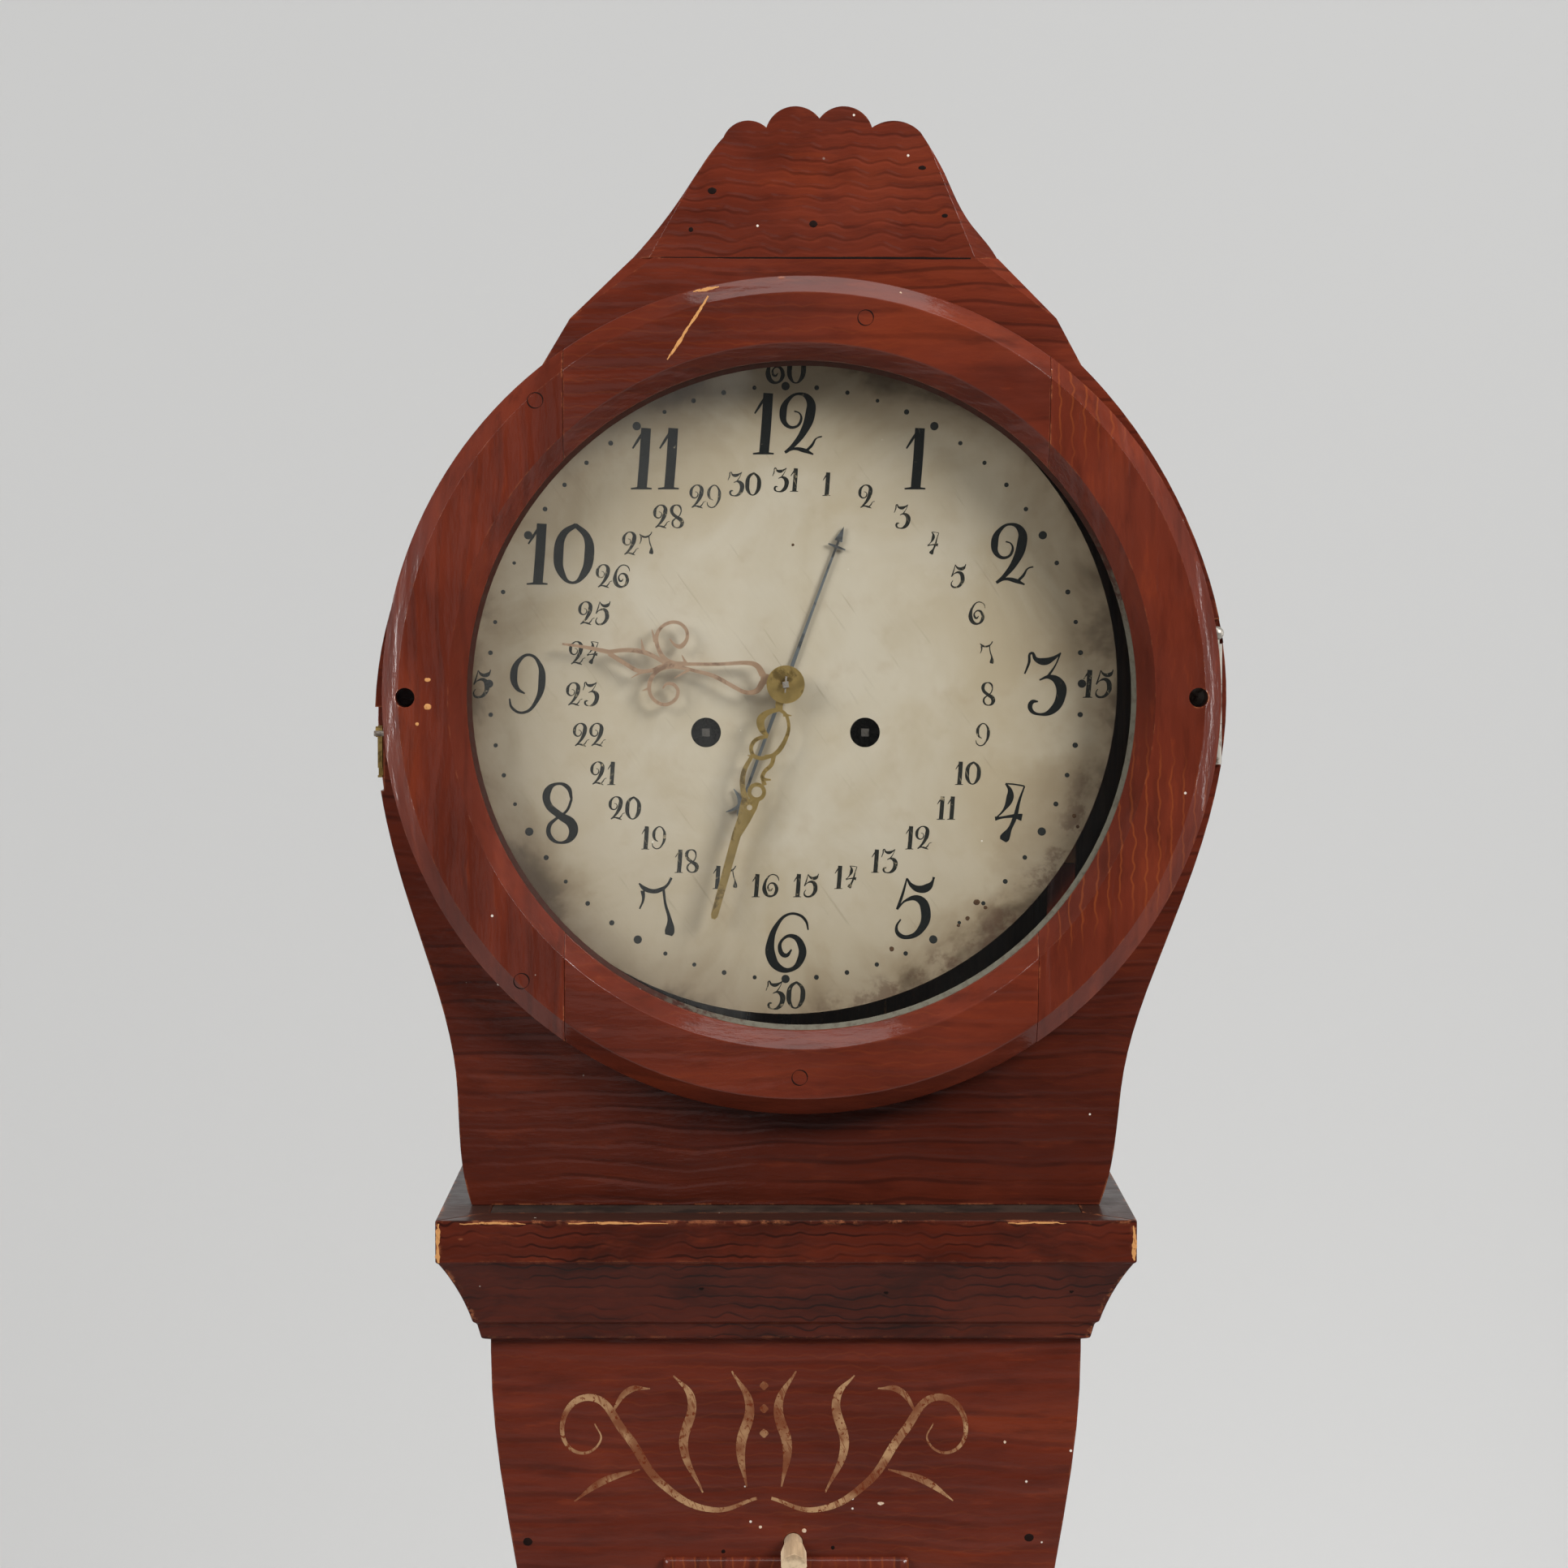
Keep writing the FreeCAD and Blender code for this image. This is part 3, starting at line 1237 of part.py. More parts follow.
def make_plates():
    """Two iron plates on four pillars, with a hole for every pivot."""
    fit = S.pivot_fit
    pivots = [
        (CENTRE, S.centre_arbor), (THIRD, S.small_arbor), (ESCAPE, S.small_arbor),
        (GOING, S.barrel_arbor), (STRIKING, S.barrel_arbor), (HAMMER, S.small_arbor),
    ]
    outline = rectangle(-S.plate_half, S.dial_z - S.plate_below, S.plate_half, S.dial_z + S.plate_above)
    for at, radius in pivots:
        outline += circle(at.x, at.z, radius + fit)
    front_outline = outline + circle(0, ANCHOR.z, S.small_arbor + fit)
    front = board("front_plate_blank", front_outline, "plate_one_back", "plate_thick")
    stud = arbor("minute_stud", MINUTE, "small_arbor", "plate_one - motion_space / 2", "plate_one")
    node("front_plate", join("front_plate", [front, stud]))
    back_outline = outline + circle(0, ANCHOR.z, S.hub_radius)
    node("back_plate", board("back_plate", back_outline, "plate_two_back", "plate_thick"))
    pillars = []
    for side in "-+":
        for rise in ("- pillar_low", "+ pillar_high"):
            pillars.append(arbor(
                f"pillar_{len(pillars)}", Spot(f"{side}pillar_x", f"dial_z {rise}"),
                "pillar_radius", "plate_one_back", "plate_two",
            ))
    node("plate_pillars", group("plate_pillars", pillars))


def make_dial():
    """The round dial with its centre hole and two winding holes, on four feet."""
    outline = circle(0, S.dial_z, S.dial_radius) + circle(0, S.dial_z, S.dial_centre_hole)
    for at in (GOING, STRIKING):
        outline += circle(at.x, at.z, S.dial_wind_hole)
    parts = [board("dial_disc", outline, "dial_back", "dial_thick")]
    for side in "-+":
        for rise in "-+":
            parts.append(arbor(
                f"dial_foot_{len(parts)}", Spot(f"{side}dial_foot_x", f"dial_z {rise} dial_foot_z"),
                "dial_foot_radius", "dial_back", "plate_one",
            ))
    node("dial_plate", join("dial_plate", parts))


def make_drum(name, at, drum_back):
    """A line drum with two flanges, its arbor and the square that the key turns."""
    barrel = arbor(f"{name}_barrel", at, "drum_radius", f"{drum_back} - drum_length", drum_back)
    flanges = [
        arbor(f"{name}_flange_{tag}", at, "flange_radius", start, f"{start} + flange_thick")
        for tag, start in (
            ("front", f"{drum_back} - drum_length"), ("back", f"{drum_back} - flange_thick")
        )
    ]
    bar = arbor(f"{name}_arbor", at, "barrel_arbor", "plate_one - plate_thick", "plate_two_back")
    half = S.square_side / 2
    square = board(
        f"{name}_square", rectangle(at.x - half, at.z - half, at.x + half, at.z + half),
        "plate_one - plate_thick", "plate_one - plate_thick - dial_face + dial_thick",
    )
    return node(name, join(name, [barrel, *flanges, bar, square]))


def make_going_train():
    """Great wheel, centre, third and escape wheels, all in mesh as the clock stands."""
    module_one = 2 * math.hypot(S.barrel_x, S.barrel_drop) / (TEETH["great_teeth"] + TEETH["great_pinion"])
    node("going_great_wheel", wheel(
        "going_great_wheel", GOING, TEETH["great_teeth"], module_one, "great_plane + wheel_thick",
        bore=S.barrel_arbor + S.pivot_fit, arms=GREAT_ARMS, phase=toward(GOING, CENTRE),
    ))
    make_drum("going_drum", GOING, "great_plane + 2 * wheel_thick + drum_length")
    away = math.pi / TEETH["great_pinion"]
    node("centre_wheel", join("centre_wheel", [
        arbor("centre_arbor", CENTRE, "centre_arbor", "dial_face - 5 * hand_gap", "plate_two_back"),
        wheel("centre_disc", CENTRE, TEETH["centre_teeth"], S.centre_module, "centre_plane + wheel_thick",
              phase=toward(CENTRE, THIRD)),
        pinion("centre_pinion", CENTRE, TEETH["great_pinion"], module_one,
               "great_plane + wheel_thick / 2 + pinion_length / 2", "pinion_length",
               phase=toward(CENTRE, GOING) + away),
    ]))
    node("third_wheel", join("third_wheel", [
        arbor("third_arbor", THIRD, "small_arbor", "plate_one", "plate_two_back"),
        wheel("third_disc", THIRD, TEETH["third_teeth"], S.third_module, "third_plane + wheel_thick",
              phase=toward(THIRD, ESCAPE)),
        pinion("third_pinion", THIRD, TEETH["third_pinion"], S.centre_module,
               "centre_plane + wheel_thick / 2 + pinion_length / 2", "pinion_length",
               phase=toward(THIRD, CENTRE) + math.pi / TEETH["third_pinion"]),
    ]))
    radius, hub = S.escape_radius, S.small_arbor + S.hub_radius / 2
    outline = saw_ring(ESCAPE.x, ESCAPE.z, TEETH["escape_teeth"], radius, radius * ESCAPE_DEPTH_SHARE, 0.0)
    outline += crossings(
        ESCAPE.x, ESCAPE.z, hub, radius * ESCAPE_RIM_SHARE, WHEEL_ARMS, 2 * radius * ARM_SHARE, 0.0
    )
    node("escape_wheel", join("escape_wheel", [
        arbor("escape_arbor", ESCAPE, "small_arbor", "plate_one", "plate_two_back"),
        board("escape_disc", outline, "escape_plane + wheel_thick", "wheel_thick"),
        pinion("escape_pinion", ESCAPE, TEETH["escape_pinion"], S.third_module,
               "third_plane + wheel_thick / 2 + pinion_length / 2", "pinion_length",
               phase=toward(ESCAPE, THIRD) + math.pi / TEETH["escape_pinion"]),
    ]))


def make_motion_work():
    """Cannon pinion, minute wheel and hour wheel between the dial and the front plate."""
    first = 2 * S.minute_rise / (TEETH["cannon_teeth"] + TEETH["minute_teeth"])
    second = 2 * S.minute_rise / (TEETH["minute_pinion"] + TEETH["hour_teeth"])
    fit = S.pivot_fit
    foot = "plate_one - slide_gap"
    tube = arbor("cannon_pipe_solid", CENTRE, "cannon_pipe", "dial_face - 4 * hand_gap", foot)
    cannon_bore = arbor("cannon_bore", CENTRE, "centre_arbor", "dial_face - 6 * hand_gap", "plate_two")
    node("cannon_pinion", join("cannon_pinion", [
        pinion("cannon_leaves", CENTRE, TEETH["cannon_teeth"], first, foot, "wheel_thick",
               bore=S.centre_arbor, phase=toward(CENTRE, MINUTE)),
        less("cannon_pipe_bored", tube, [cannon_bore]),
    ]))
    minute_bore = S.small_arbor + fit
    node("minute_wheel", join("minute_wheel", [
        wheel("minute_disc", MINUTE, TEETH["minute_teeth"], first, foot, bore=minute_bore,
              phase=toward(MINUTE, CENTRE) + math.pi / TEETH["minute_teeth"]),
        pinion("minute_leaves", MINUTE, TEETH["minute_pinion"], second, f"{foot} - wheel_thick",
               "pinion_length", bore=minute_bore, phase=toward(MINUTE, CENTRE)),
    ]))
    pipe = less(
        "hour_pipe_bored",
        arbor("hour_pipe_solid", CENTRE, "hour_pipe", "dial_face - 3 * hand_gap + hand_thick", "hour_plane"),
        [arbor("hour_bore", CENTRE, "cannon_pipe + pivot_fit", "dial_face - 6 * hand_gap", "plate_two")],
    )
    node("hour_wheel", join("hour_wheel", [
        wheel("hour_disc", CENTRE, TEETH["hour_teeth"], second, "hour_plane + wheel_thick",
              bore=S.cannon_pipe + fit, phase=toward(CENTRE, MINUTE) + math.pi / TEETH["hour_teeth"]),
        pipe,
    ]))


def make_strike():
    """Striking drum and great wheel with lifting pins, the hammer and its bell."""
    module = 2 * S.strike_radius / TEETH["strike_teeth"]
    disc = wheel(
        "strike_disc", STRIKING, TEETH["strike_teeth"], module, "strike_plane + wheel_thick",
        bore=S.barrel_arbor + S.pivot_fit, arms=GREAT_ARMS,
    )
    pins = []
    for index in range(int(S.lift_pins)):
        turn = f"{index} * 360 / lift_pins"
        reach = f"{PIN_CIRCLE_SHARE} * strike_radius"
        at = Spot(f"{reach} * cos({turn}) - barrel_x", f"{reach} * sin({turn}) + barrel_z")
        start = "strike_plane - pinion_length"
        pins.append(arbor(f"lift_pin_{index}", at, "lift_pin_radius", start, "strike_plane"))
    node("striking_great_wheel", join("striking_great_wheel", [disc, *pins]))
    make_drum("striking_drum", STRIKING, "plate_one_back + flange_thick + drum_length")
    half = S.hammer_width / 2
    top = Spot("hammer_lean - hammer_x", "hammer_z + hammer_reach")
    tail = Spot("-hammer_x", "hammer_z - hammer_tail")
    arm = board("hammer_arm", lines((
        (tail.x - half, tail.z), (tail.x + half, tail.z), (HAMMER.x + half, HAMMER.z),
        (top.x + half, top.z), (top.x - half, top.z), (HAMMER.x - half, HAMMER.z),
    )), "line_y + wheel_thick / 2", "wheel_thick")
    head = rod(
        "hammer_head_solid", (f"{top.across} - hammer_head_length / 2", "line_y", top.up),
        "hammer_head", "hammer_head_length", "X",
    )
    bar = arbor("hammer_arbor", HAMMER, "small_arbor", "plate_one", "plate_two_back")
    node("hammer", join("hammer", [arm, head, bar]))
    r, tall, wall = S.bell_radius, S.bell_height, S.bell_wall
    outline = (
        path(((0, tall - wall), (0, tall), (r * BELL_SHARES[0], tall)))
        + [arc((r * BELL_SHARES[0], tall), (r * BELL_SHARES[1], tall * BELL_SHARES[2]), (r, 0))]
        + path(((r, 0), (r - wall, 0)))
        + [arc((r - wall, 0), (r * BELL_SHARES[1] - wall, tall * BELL_SHARES[2] - wall),
               (r * BELL_SHARES[0] - wall, tall - wall))]
        + path(((r * BELL_SHARES[0] - wall, tall - wall), (0, tall - wall)))
    )
    bell = turned("bell", outline, ("-bell_x", "line_y", "dial_z + bell_rise"), "XZ")
    node("bell", bell)
    top_z = "dial_z + bell_rise + bell_height"
    node("bell_stand", join("bell_stand", [
        box("stand_post", ("-bell_x - stand_width / 2", "plate_two_back", "dial_z + plate_above / 2"),
            ("stand_width", "wheel_thick", "bell_rise + bell_height + 2 * stand_gap - plate_above / 2")),
        box("stand_arm", ("-bell_x - stand_width / 2", "line_y - stand_width / 2", f"{top_z} + stand_gap"),
            ("stand_width", "plate_two_back - line_y + stand_width / 2 + wheel_thick", "stand_gap")),
        rod("stand_screw", ("-bell_x", "line_y", top_z), "centre_arbor", "2 * stand_gap", "Z"),
    ]))


def make_escapement():
    """Anchor and crutch on one arbor, the cock that holds it, and the pendulum on the cock's pin."""
    reach = S.escape_radius + S.pallet_clear
    low = ESCAPE.z + reach * math.sqrt(0.5)
    tip, arm = reach * math.sqrt(0.5), S.pallet_thick
    hub = ANCHOR.z
    outline = lines((
        (-tip, low), (-tip - arm, low + arm / 2), (-tip - arm / 2, low + arm), (-arm / 2, hub + arm / 2),
        (arm / 2, hub + arm / 2), (tip + arm / 2, low + arm), (tip + arm, low + arm / 2), (tip, low),
        (tip - arm / 3, low + arm / 2), (0, hub - arm / 2), (arm / 3 - tip, low + arm / 2),
    ))
    fork_low = S.dial_z - S.hub_radius
    crutch_y = "plate_two_back + cock_gap / 2"
    half, prong = S.rod_width / 2 + S.strap_gap, S.strap_thick * 2
    prongs = [
        box(f"fork_prong_{name}", (corner, f"{crutch_y} - wheel_thick / 2", "dial_z - hub_radius"),
            ("2 * strap_thick", "pendulum_gap - cock_gap / 2 + wheel_thick / 2 + rod_thick", "hub_radius"))
        for name, corner in (
            ("left", "-(rod_width / 2 + strap_gap) - 2 * strap_thick"), ("right", "rod_width / 2 + strap_gap")
        )
    ]
    crutch = board("crutch_arm", lines((
        (-half - prong, fork_low), (half + prong, fork_low), (half + prong, fork_low + S.hub_radius),
        (S.small_arbor, fork_low + 2 * S.hub_radius), (S.small_arbor, hub), (-S.small_arbor, hub),
        (-S.small_arbor, fork_low + 2 * S.hub_radius), (-half - prong, fork_low + S.hub_radius),
    )), f"{crutch_y} + wheel_thick / 2", "wheel_thick")
    node("anchor_and_crutch", join("anchor_and_crutch", [
        arbor("anchor_arbor", ANCHOR, "small_arbor", "plate_one", "cock_y + wheel_thick - 2 * slide_gap"),
        board("anchor_pallets", outline, "escape_plane + 2 * wheel_thick", "3 * wheel_thick"),
        crutch, *prongs,
    ]))
    cock = box(
        "cock_bridge", ("-cock_half", "cock_y", "anchor_z - cock_drop"),
        ("2 * cock_half", "wheel_thick", "cock_drop + cock_rise"),
    )
    hole = arbor(
        "cock_pivot_hole", ANCHOR, "small_arbor + pivot_fit",
        "cock_y - wheel_thick", "cock_y + wheel_thick - slide_gap",
    )
    post_z = "anchor_z + cock_rise / 2"
    posts = [
        rod(f"cock_post_{name}", (f"{sign}(cock_half - pillar_radius)", "plate_two_back", post_z),
            "cock_foot", "cock_gap")
        for name, sign in (("left", "-"), ("right", ""))
    ]
    end = "pendulum_y + 3 * wheel_thick"
    pin = arbor("cock_pin", ANCHOR, "centre_arbor", "cock_y + wheel_thick", end)
    collar = arbor("cock_pin_collar", ANCHOR, "knot_radius", "pendulum_y + 2 * wheel_thick", end)
    node("pendulum_cock", join("pendulum_cock", [less("cock_bored", cock, [hole]), *posts, pin, collar]))
    front, back = "pendulum_y - rod_thick / 2", "pendulum_y + rod_thick / 2"
    bar = box(
        "pendulum_bar", ("-rod_width / 2", front, "bob_z - bob_radius - 2 * nut_height"),
        ("rod_width", "rod_thick", "pendulum_length + bob_radius + 2 * nut_height"),
    )
    eye = arbor("pendulum_eye", ANCHOR, "eye_radius", front, back)
    eye_hole = arbor("pendulum_eye_hole", ANCHOR, "centre_arbor + pivot_fit", "cock_y", "back_inner")
    node("pendulum_rod", less("pendulum_rod", join("pendulum_solid", [bar, eye]), [eye_hole]))
    r, face, rim = S.bob_radius, S.bob_thick / 2, S.bob_rim / 2
    below = (r * r + rim * rim - face * face) / (2 * (face - rim))
    bow = r / 2, math.sqrt((face + below) ** 2 - r * r / 4) - below
    lens = turned("bob_lens", (
        path(((0, -face), (0, face))) + [arc((0, face), bow, (r, rim))] + path(((r, rim), (r, -rim)))
        + [arc((r, -rim), (bow[0], -bow[1]), (0, -face))]
    ), ("0", "pendulum_y", "bob_z"))
    slot = box(
        "bob_slot", ("-rod_width / 2", "pendulum_y - rod_thick / 2", "bob_z - 2 * bob_radius"),
        ("rod_width", "rod_thick", "4 * bob_radius"),
    )
    nut_at = "0", "pendulum_y", "bob_z - bob_radius - nut_height"
    nut = rod("rating_nut", nut_at, "nut_radius", "nut_height", "Z")
    node("pendulum_bob", group("pendulum_bob", [
        less("bob_slotted", lens, [slot]), less("nut_slotted", nut, [slot])
    ]))


# Hands


def disc(x, z, radius):
    return Part.Face(Part.Wire(Part.makeCircle(radius, V(x, 0, z), V(0, 1, 0))))


def plate(corners):
    points = [V(x, 0, z) for x, z in corners]
    return Part.Face(Part.makePolygon(points + points[:1]))


def smooth(rows):
    """Points along a soft curve through the rows, each with its half width."""
    ends = [rows[0], *rows, rows[-1]]
    points = []
    for a, b, c, d in zip(ends, ends[1:], ends[2:], ends[3:]):
        for step in range(RIBBON_STEPS):
            u = step / RIBBON_STEPS
            points.append([
                q + u / 2 * (r - p + u * (2 * p - 5 * q + 4 * r - s + u * (3 * q - p - 3 * r + s)))
                for p, q, r, s in zip(a, b, c, d)
            ])
    return points + [list(rows[-1])]


def ribbon(rows, unit, weight):
    """A flat band of changing width along a soft curve; `weight` thickens its strokes."""
    points = smooth(rows) if len(rows) > 2 else rows
    left, right = [], []
    for index, (x, z, half) in enumerate(points):
        to_x, to_z = (part * half * weight for part in normal_at(points, index))
        left.append(((x + to_x) * unit, (z + to_z) * unit))
        right.append(((x - to_x) * unit, (z - to_z) * unit))
    return plate(left + right[::-1])


def hand_shape(faces, front, pipe_hole, extras=()):
    """Gives the flat pieces of a hand their thickness, back from y = front, and bores its middle."""
    solid = faces[0].multiFuse(faces[1:]).removeSplitter().extrude(V(0, S.hand_thick, 0))
    solid.translate(V(0, front, 0))
    for extra in extras:
        solid = solid.fuse(extra)
    solid = solid.cut(Part.makeCylinder(pipe_hole, 4 * S.date_pipe, V(0, front - S.date_pipe, 0), V(0, 1, 0)))
    solid = solid.removeSplitter()
    solid.translate(V(0, 0, S.dial_z))
    return solid


def make_hands():
    """Two openwork brass hands and the thin date hand, all round the same centre."""
    gap, thick, hub = S.hand_gap, S.hand_thick, S.hand_hub
    unit = S.minute_length / math.hypot(*MINUTE_TIP_SHARES)
    weight = STROKE_SHARES["minute"]
    x, z, outer, band = (value * unit for value in MINUTE_RING_SHARES)
    eye_x, eye_z, eye = (value * unit for value in MINUTE_EYE_SHARES)
    spear = plate([(a * unit, b * unit) for a, b in MINUTE_SPEAR_SHARES]).cut(disc(eye_x, eye_z, eye))
    faces = [disc(0, 0, hub), *(ribbon(rows, unit, weight) for rows in MINUTE_RIBBON_SHARES)]
    faces = [face.cut(disc(x, z, outer - band * weight)) for face in (*faces, disc(x, z, outer), spear)]
    front = S.dial_face - 4 * gap
    washer = Part.makeCylinder(S.washer_radius, thick, V(0, front - thick, 0), V(0, 1, 0))
    shape = hand_shape(faces, front, S.centre_arbor, [washer])
    pipe = Part.makeCylinder(S.cannon_pipe, 2 * thick, V(0, front, S.dial_z), V(0, 1, 0))
    node("minute_hand", feature("minute_hand", shape.cut(pipe)))
    unit = S.hour_length / math.hypot(*HOUR_TIP_SHARES)
    weight = STROKE_SHARES["hour"]
    faces = [disc(0, 0, hub), *(ribbon(rows, unit, weight) for rows in HOUR_RIBBON_SHARES)]
    node("hour_hand", feature("hour_hand", hand_shape(faces, S.dial_face - 3 * gap + thick, S.hour_pipe)))
    unit = S.date_length / math.hypot(*DATE_TIP_SHARES)
    weight = STROKE_SHARES["date"]
    faces = [disc(0, 0, hub), *(ribbon(rows, unit, weight) for rows in DATE_RIBBON_SHARES)]
    faces.append(plate([(a * unit, b * unit) for a, b in DATE_HEAD_SHARES]))
    front = S.dial_face - gap + thick / 2
    pipe = Part.makeCylinder(S.date_pipe, 3 * gap, V(0, front, 0), V(0, 1, 0))
    node("date_hand", feature("date_hand", hand_shape(faces, front, S.hour_pipe + S.pivot_fit, [pipe])))


# Weights


def make_weight(name, side):
    """A cast weight hung from a pulley in a strap, and the gut line that goes round it."""
    sign = "" if side > 0 else "-"
    x = f"{sign}weight_x"
    r, tall, top = S.weight_radius, S.weight_height, S.weight_shoulder
    cast = turned(f"{name}_cast", lines((
        (0, 0), (r - top / 2, 0), (r, top / 2), (r, tall - top), (r - top, tall), (0, tall)
    )), (x, "line_y", "weight_rest"), "XZ")
    stem = rod(
        f"{name}_stem", (x, "line_y", "weight_top"), "centre_arbor",
        "pulley_rise - pulley_radius - strap_gap", "Z",
    )
    low = "pulley_z - pulley_radius - strap_gap - 2 * strap_thick"
    wide = "pulley_thick + 2 * strap_gap"
    yoke = box(
        f"{name}_yoke", (f"{x} - strap_width / 2", f"line_y - ({wide}) / 2 - strap_thick", low),
        ("strap_width", f"{wide} + 2 * strap_thick", "2 * strap_thick"),
    )
    cheeks = [
        box(f"{name}_strap_{tag}", (f"{x} - strap_width / 2", start, low),
            ("strap_width", "strap_thick", f"pulley_z + strap_width / 2 - ({low})"))
        for tag, start in (
            ("front", f"line_y - ({wide}) / 2 - strap_thick"), ("back", f"line_y + ({wide}) / 2")
        )
    ]
    axle = rod(
        f"{name}_axle", (x, f"line_y - ({wide}) / 2 - strap_thick", "pulley_z"),
        "pin_radius", f"{wide} + 2 * strap_thick",
    )
    groove = S.line_bend - S.line_radius - S.line_clear
    half, slot = S.pulley_thick / 2, S.groove_width / 2
    wheel_section = lines((
        (S.pin_radius, -half), (S.pulley_radius, -half), (S.pulley_radius, -slot), (groove, -slot),
        (groove, slot), (S.pulley_radius, slot), (S.pulley_radius, half), (S.pin_radius, half),
    ))
    pulley = turned(f"{name}_pulley", wheel_section, (x, "line_y", "pulley_z"))
    node(f"{name}_weight", group(f"{name}_weight", [
        join(f"{name}_hanger", [cast, stem, yoke, *cheeks, axle]), pulley
    ]))
    bend = doc.addObject("Part::Torus", f"{name}_bend")
    bind(bend, "Radius1", "line_bend")
    bind(bend, "Radius2", "line_radius")
    bend.Placement = FreeCAD.Placement(V(), TURNS["Y"])
    place(bend, (x, "line_y", "pulley_z"))
    lower = box(
        f"{name}_lower_half", (f"{x} - 2 * line_bend", "line_y - line_bend", "pulley_z - 2 * line_bend"),
        ("4 * line_bend", "2 * line_bend", "2 * line_bend"),
    )
    loop = shared(f"{name}_loop", [bend, lower])
    strands = [
        rod(f"{name}_{tag}", (f"{sign}{across}", "line_y", start), radius, length, "Z")
        for tag, across, start, radius, length in (
            ("strand_drum", "line_drum", "pulley_z", "line_radius", "barrel_z - pulley_z"),
            ("strand_tied", "line_tied", "pulley_z", "line_radius", "seat_top - pulley_z"),
            ("knot", "line_tied", "seat_top", "knot_radius", "knot_height"),
        )
    ]
    node(f"{name}_line", join(f"{name}_line", [loop, *strands]))


def check_and_write():
    """Stops on anything that failed, then writes one file for each sub-part."""
    doc.recompute()
    for item in doc.Objects:
        if any(state in ("Invalid", "Error") for state in item.State):
            raise RuntimeError(f"{item.Label} failed: {item.State}")
    for label, item in nodes.items():
        if item.Shape.isNull() or not item.Shape.isValid() or not item.Shape.Solids:
            raise RuntimeError(f"{label} has no sound shape")
    os.makedirs("parts", exist_ok=True)
    for label, item in nodes.items():
        item.Shape.exportStep(f"parts/{label}.step")
    print(len(nodes), "sub-parts written")


make_plinth()
make_trunk()
make_cornice()
make_seat_board()
make_trunk_door()
make_hood()
make_bezel()
make_hook()
make_plates()
make_dial()
make_going_train()
make_motion_work()
make_strike()
make_escapement()
make_hands()
make_weight("going", 1)
make_weight("striking", -1)
check_and_write()
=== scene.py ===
"""Looks of a tall case clock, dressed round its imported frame. Lengths are metres."""

import json
import logging
import math
from dataclasses import dataclass, field, replace
from enum import Enum
from typing import Iterable, Sequence

import bmesh
import bpy
from mathutils import Matrix, Vector, noise
from mathutils.bvhtree import BVHTree


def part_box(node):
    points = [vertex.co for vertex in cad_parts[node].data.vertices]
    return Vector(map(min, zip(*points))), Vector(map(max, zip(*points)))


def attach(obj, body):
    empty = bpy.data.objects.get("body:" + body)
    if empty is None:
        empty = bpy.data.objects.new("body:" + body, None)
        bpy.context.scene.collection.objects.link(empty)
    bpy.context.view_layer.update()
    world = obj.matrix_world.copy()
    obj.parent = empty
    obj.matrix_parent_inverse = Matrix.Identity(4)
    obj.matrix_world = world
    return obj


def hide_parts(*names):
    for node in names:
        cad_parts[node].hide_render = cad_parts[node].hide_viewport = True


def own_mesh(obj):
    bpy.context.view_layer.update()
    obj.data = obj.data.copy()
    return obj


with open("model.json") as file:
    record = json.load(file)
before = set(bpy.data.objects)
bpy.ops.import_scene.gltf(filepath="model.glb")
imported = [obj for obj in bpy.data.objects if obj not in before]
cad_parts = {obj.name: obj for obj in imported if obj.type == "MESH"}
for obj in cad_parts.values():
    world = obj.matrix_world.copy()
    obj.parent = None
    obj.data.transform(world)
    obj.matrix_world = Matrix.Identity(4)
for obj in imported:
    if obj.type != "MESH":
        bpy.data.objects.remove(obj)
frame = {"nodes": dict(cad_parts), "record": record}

LOG = logging.getLogger("tall_case_clock")
MM = 0.001
Colour = tuple[float, float, float, float]
Point = tuple[float, float, float]
Stroke = Sequence[Point]
Socket = bpy.types.NodeSocket
Material = bpy.types.Material
Shape = bmesh.types.BMesh
NOISE_SEED = 7  # without one, Blender takes the time, and no two runs are the same
RED_SLOT = "aged_red_pine"
WAVE_SPACING = 0.3142  # between the wave texture's bands at a scale of 1
MERGE_REACH = 0.004 * MM
CUT_REACH = 0.001 * MM
FLAT_DEGREES = 0.6
EASED_DEGREES = 28
SHARP_DEGREES = 34


def tone(red: int, green: int, blue: int) -> Colour:
    """Turns a paint chip's screen colour into the light it throws back.

    Args:
        red: The red part, 0 to 255.
        green: The green part, 0 to 255.
        blue: The blue part, 0 to 255.

    Returns:
        The linear colour with full cover.
    """
    return (*(((part / 255 + 0.055) / 1.055) ** 2.4 if part > 10 else part / 3295 for part in (red, green, blue)), 1.0)


class Run(Enum):
    """The way a board's grain runs."""

    ACROSS = (0.0, 0.0, 0.0)
    UPRIGHT = (0.0, math.pi / 2, 0.0)
    DEEP = (0.0, 0.0, -math.pi / 2)


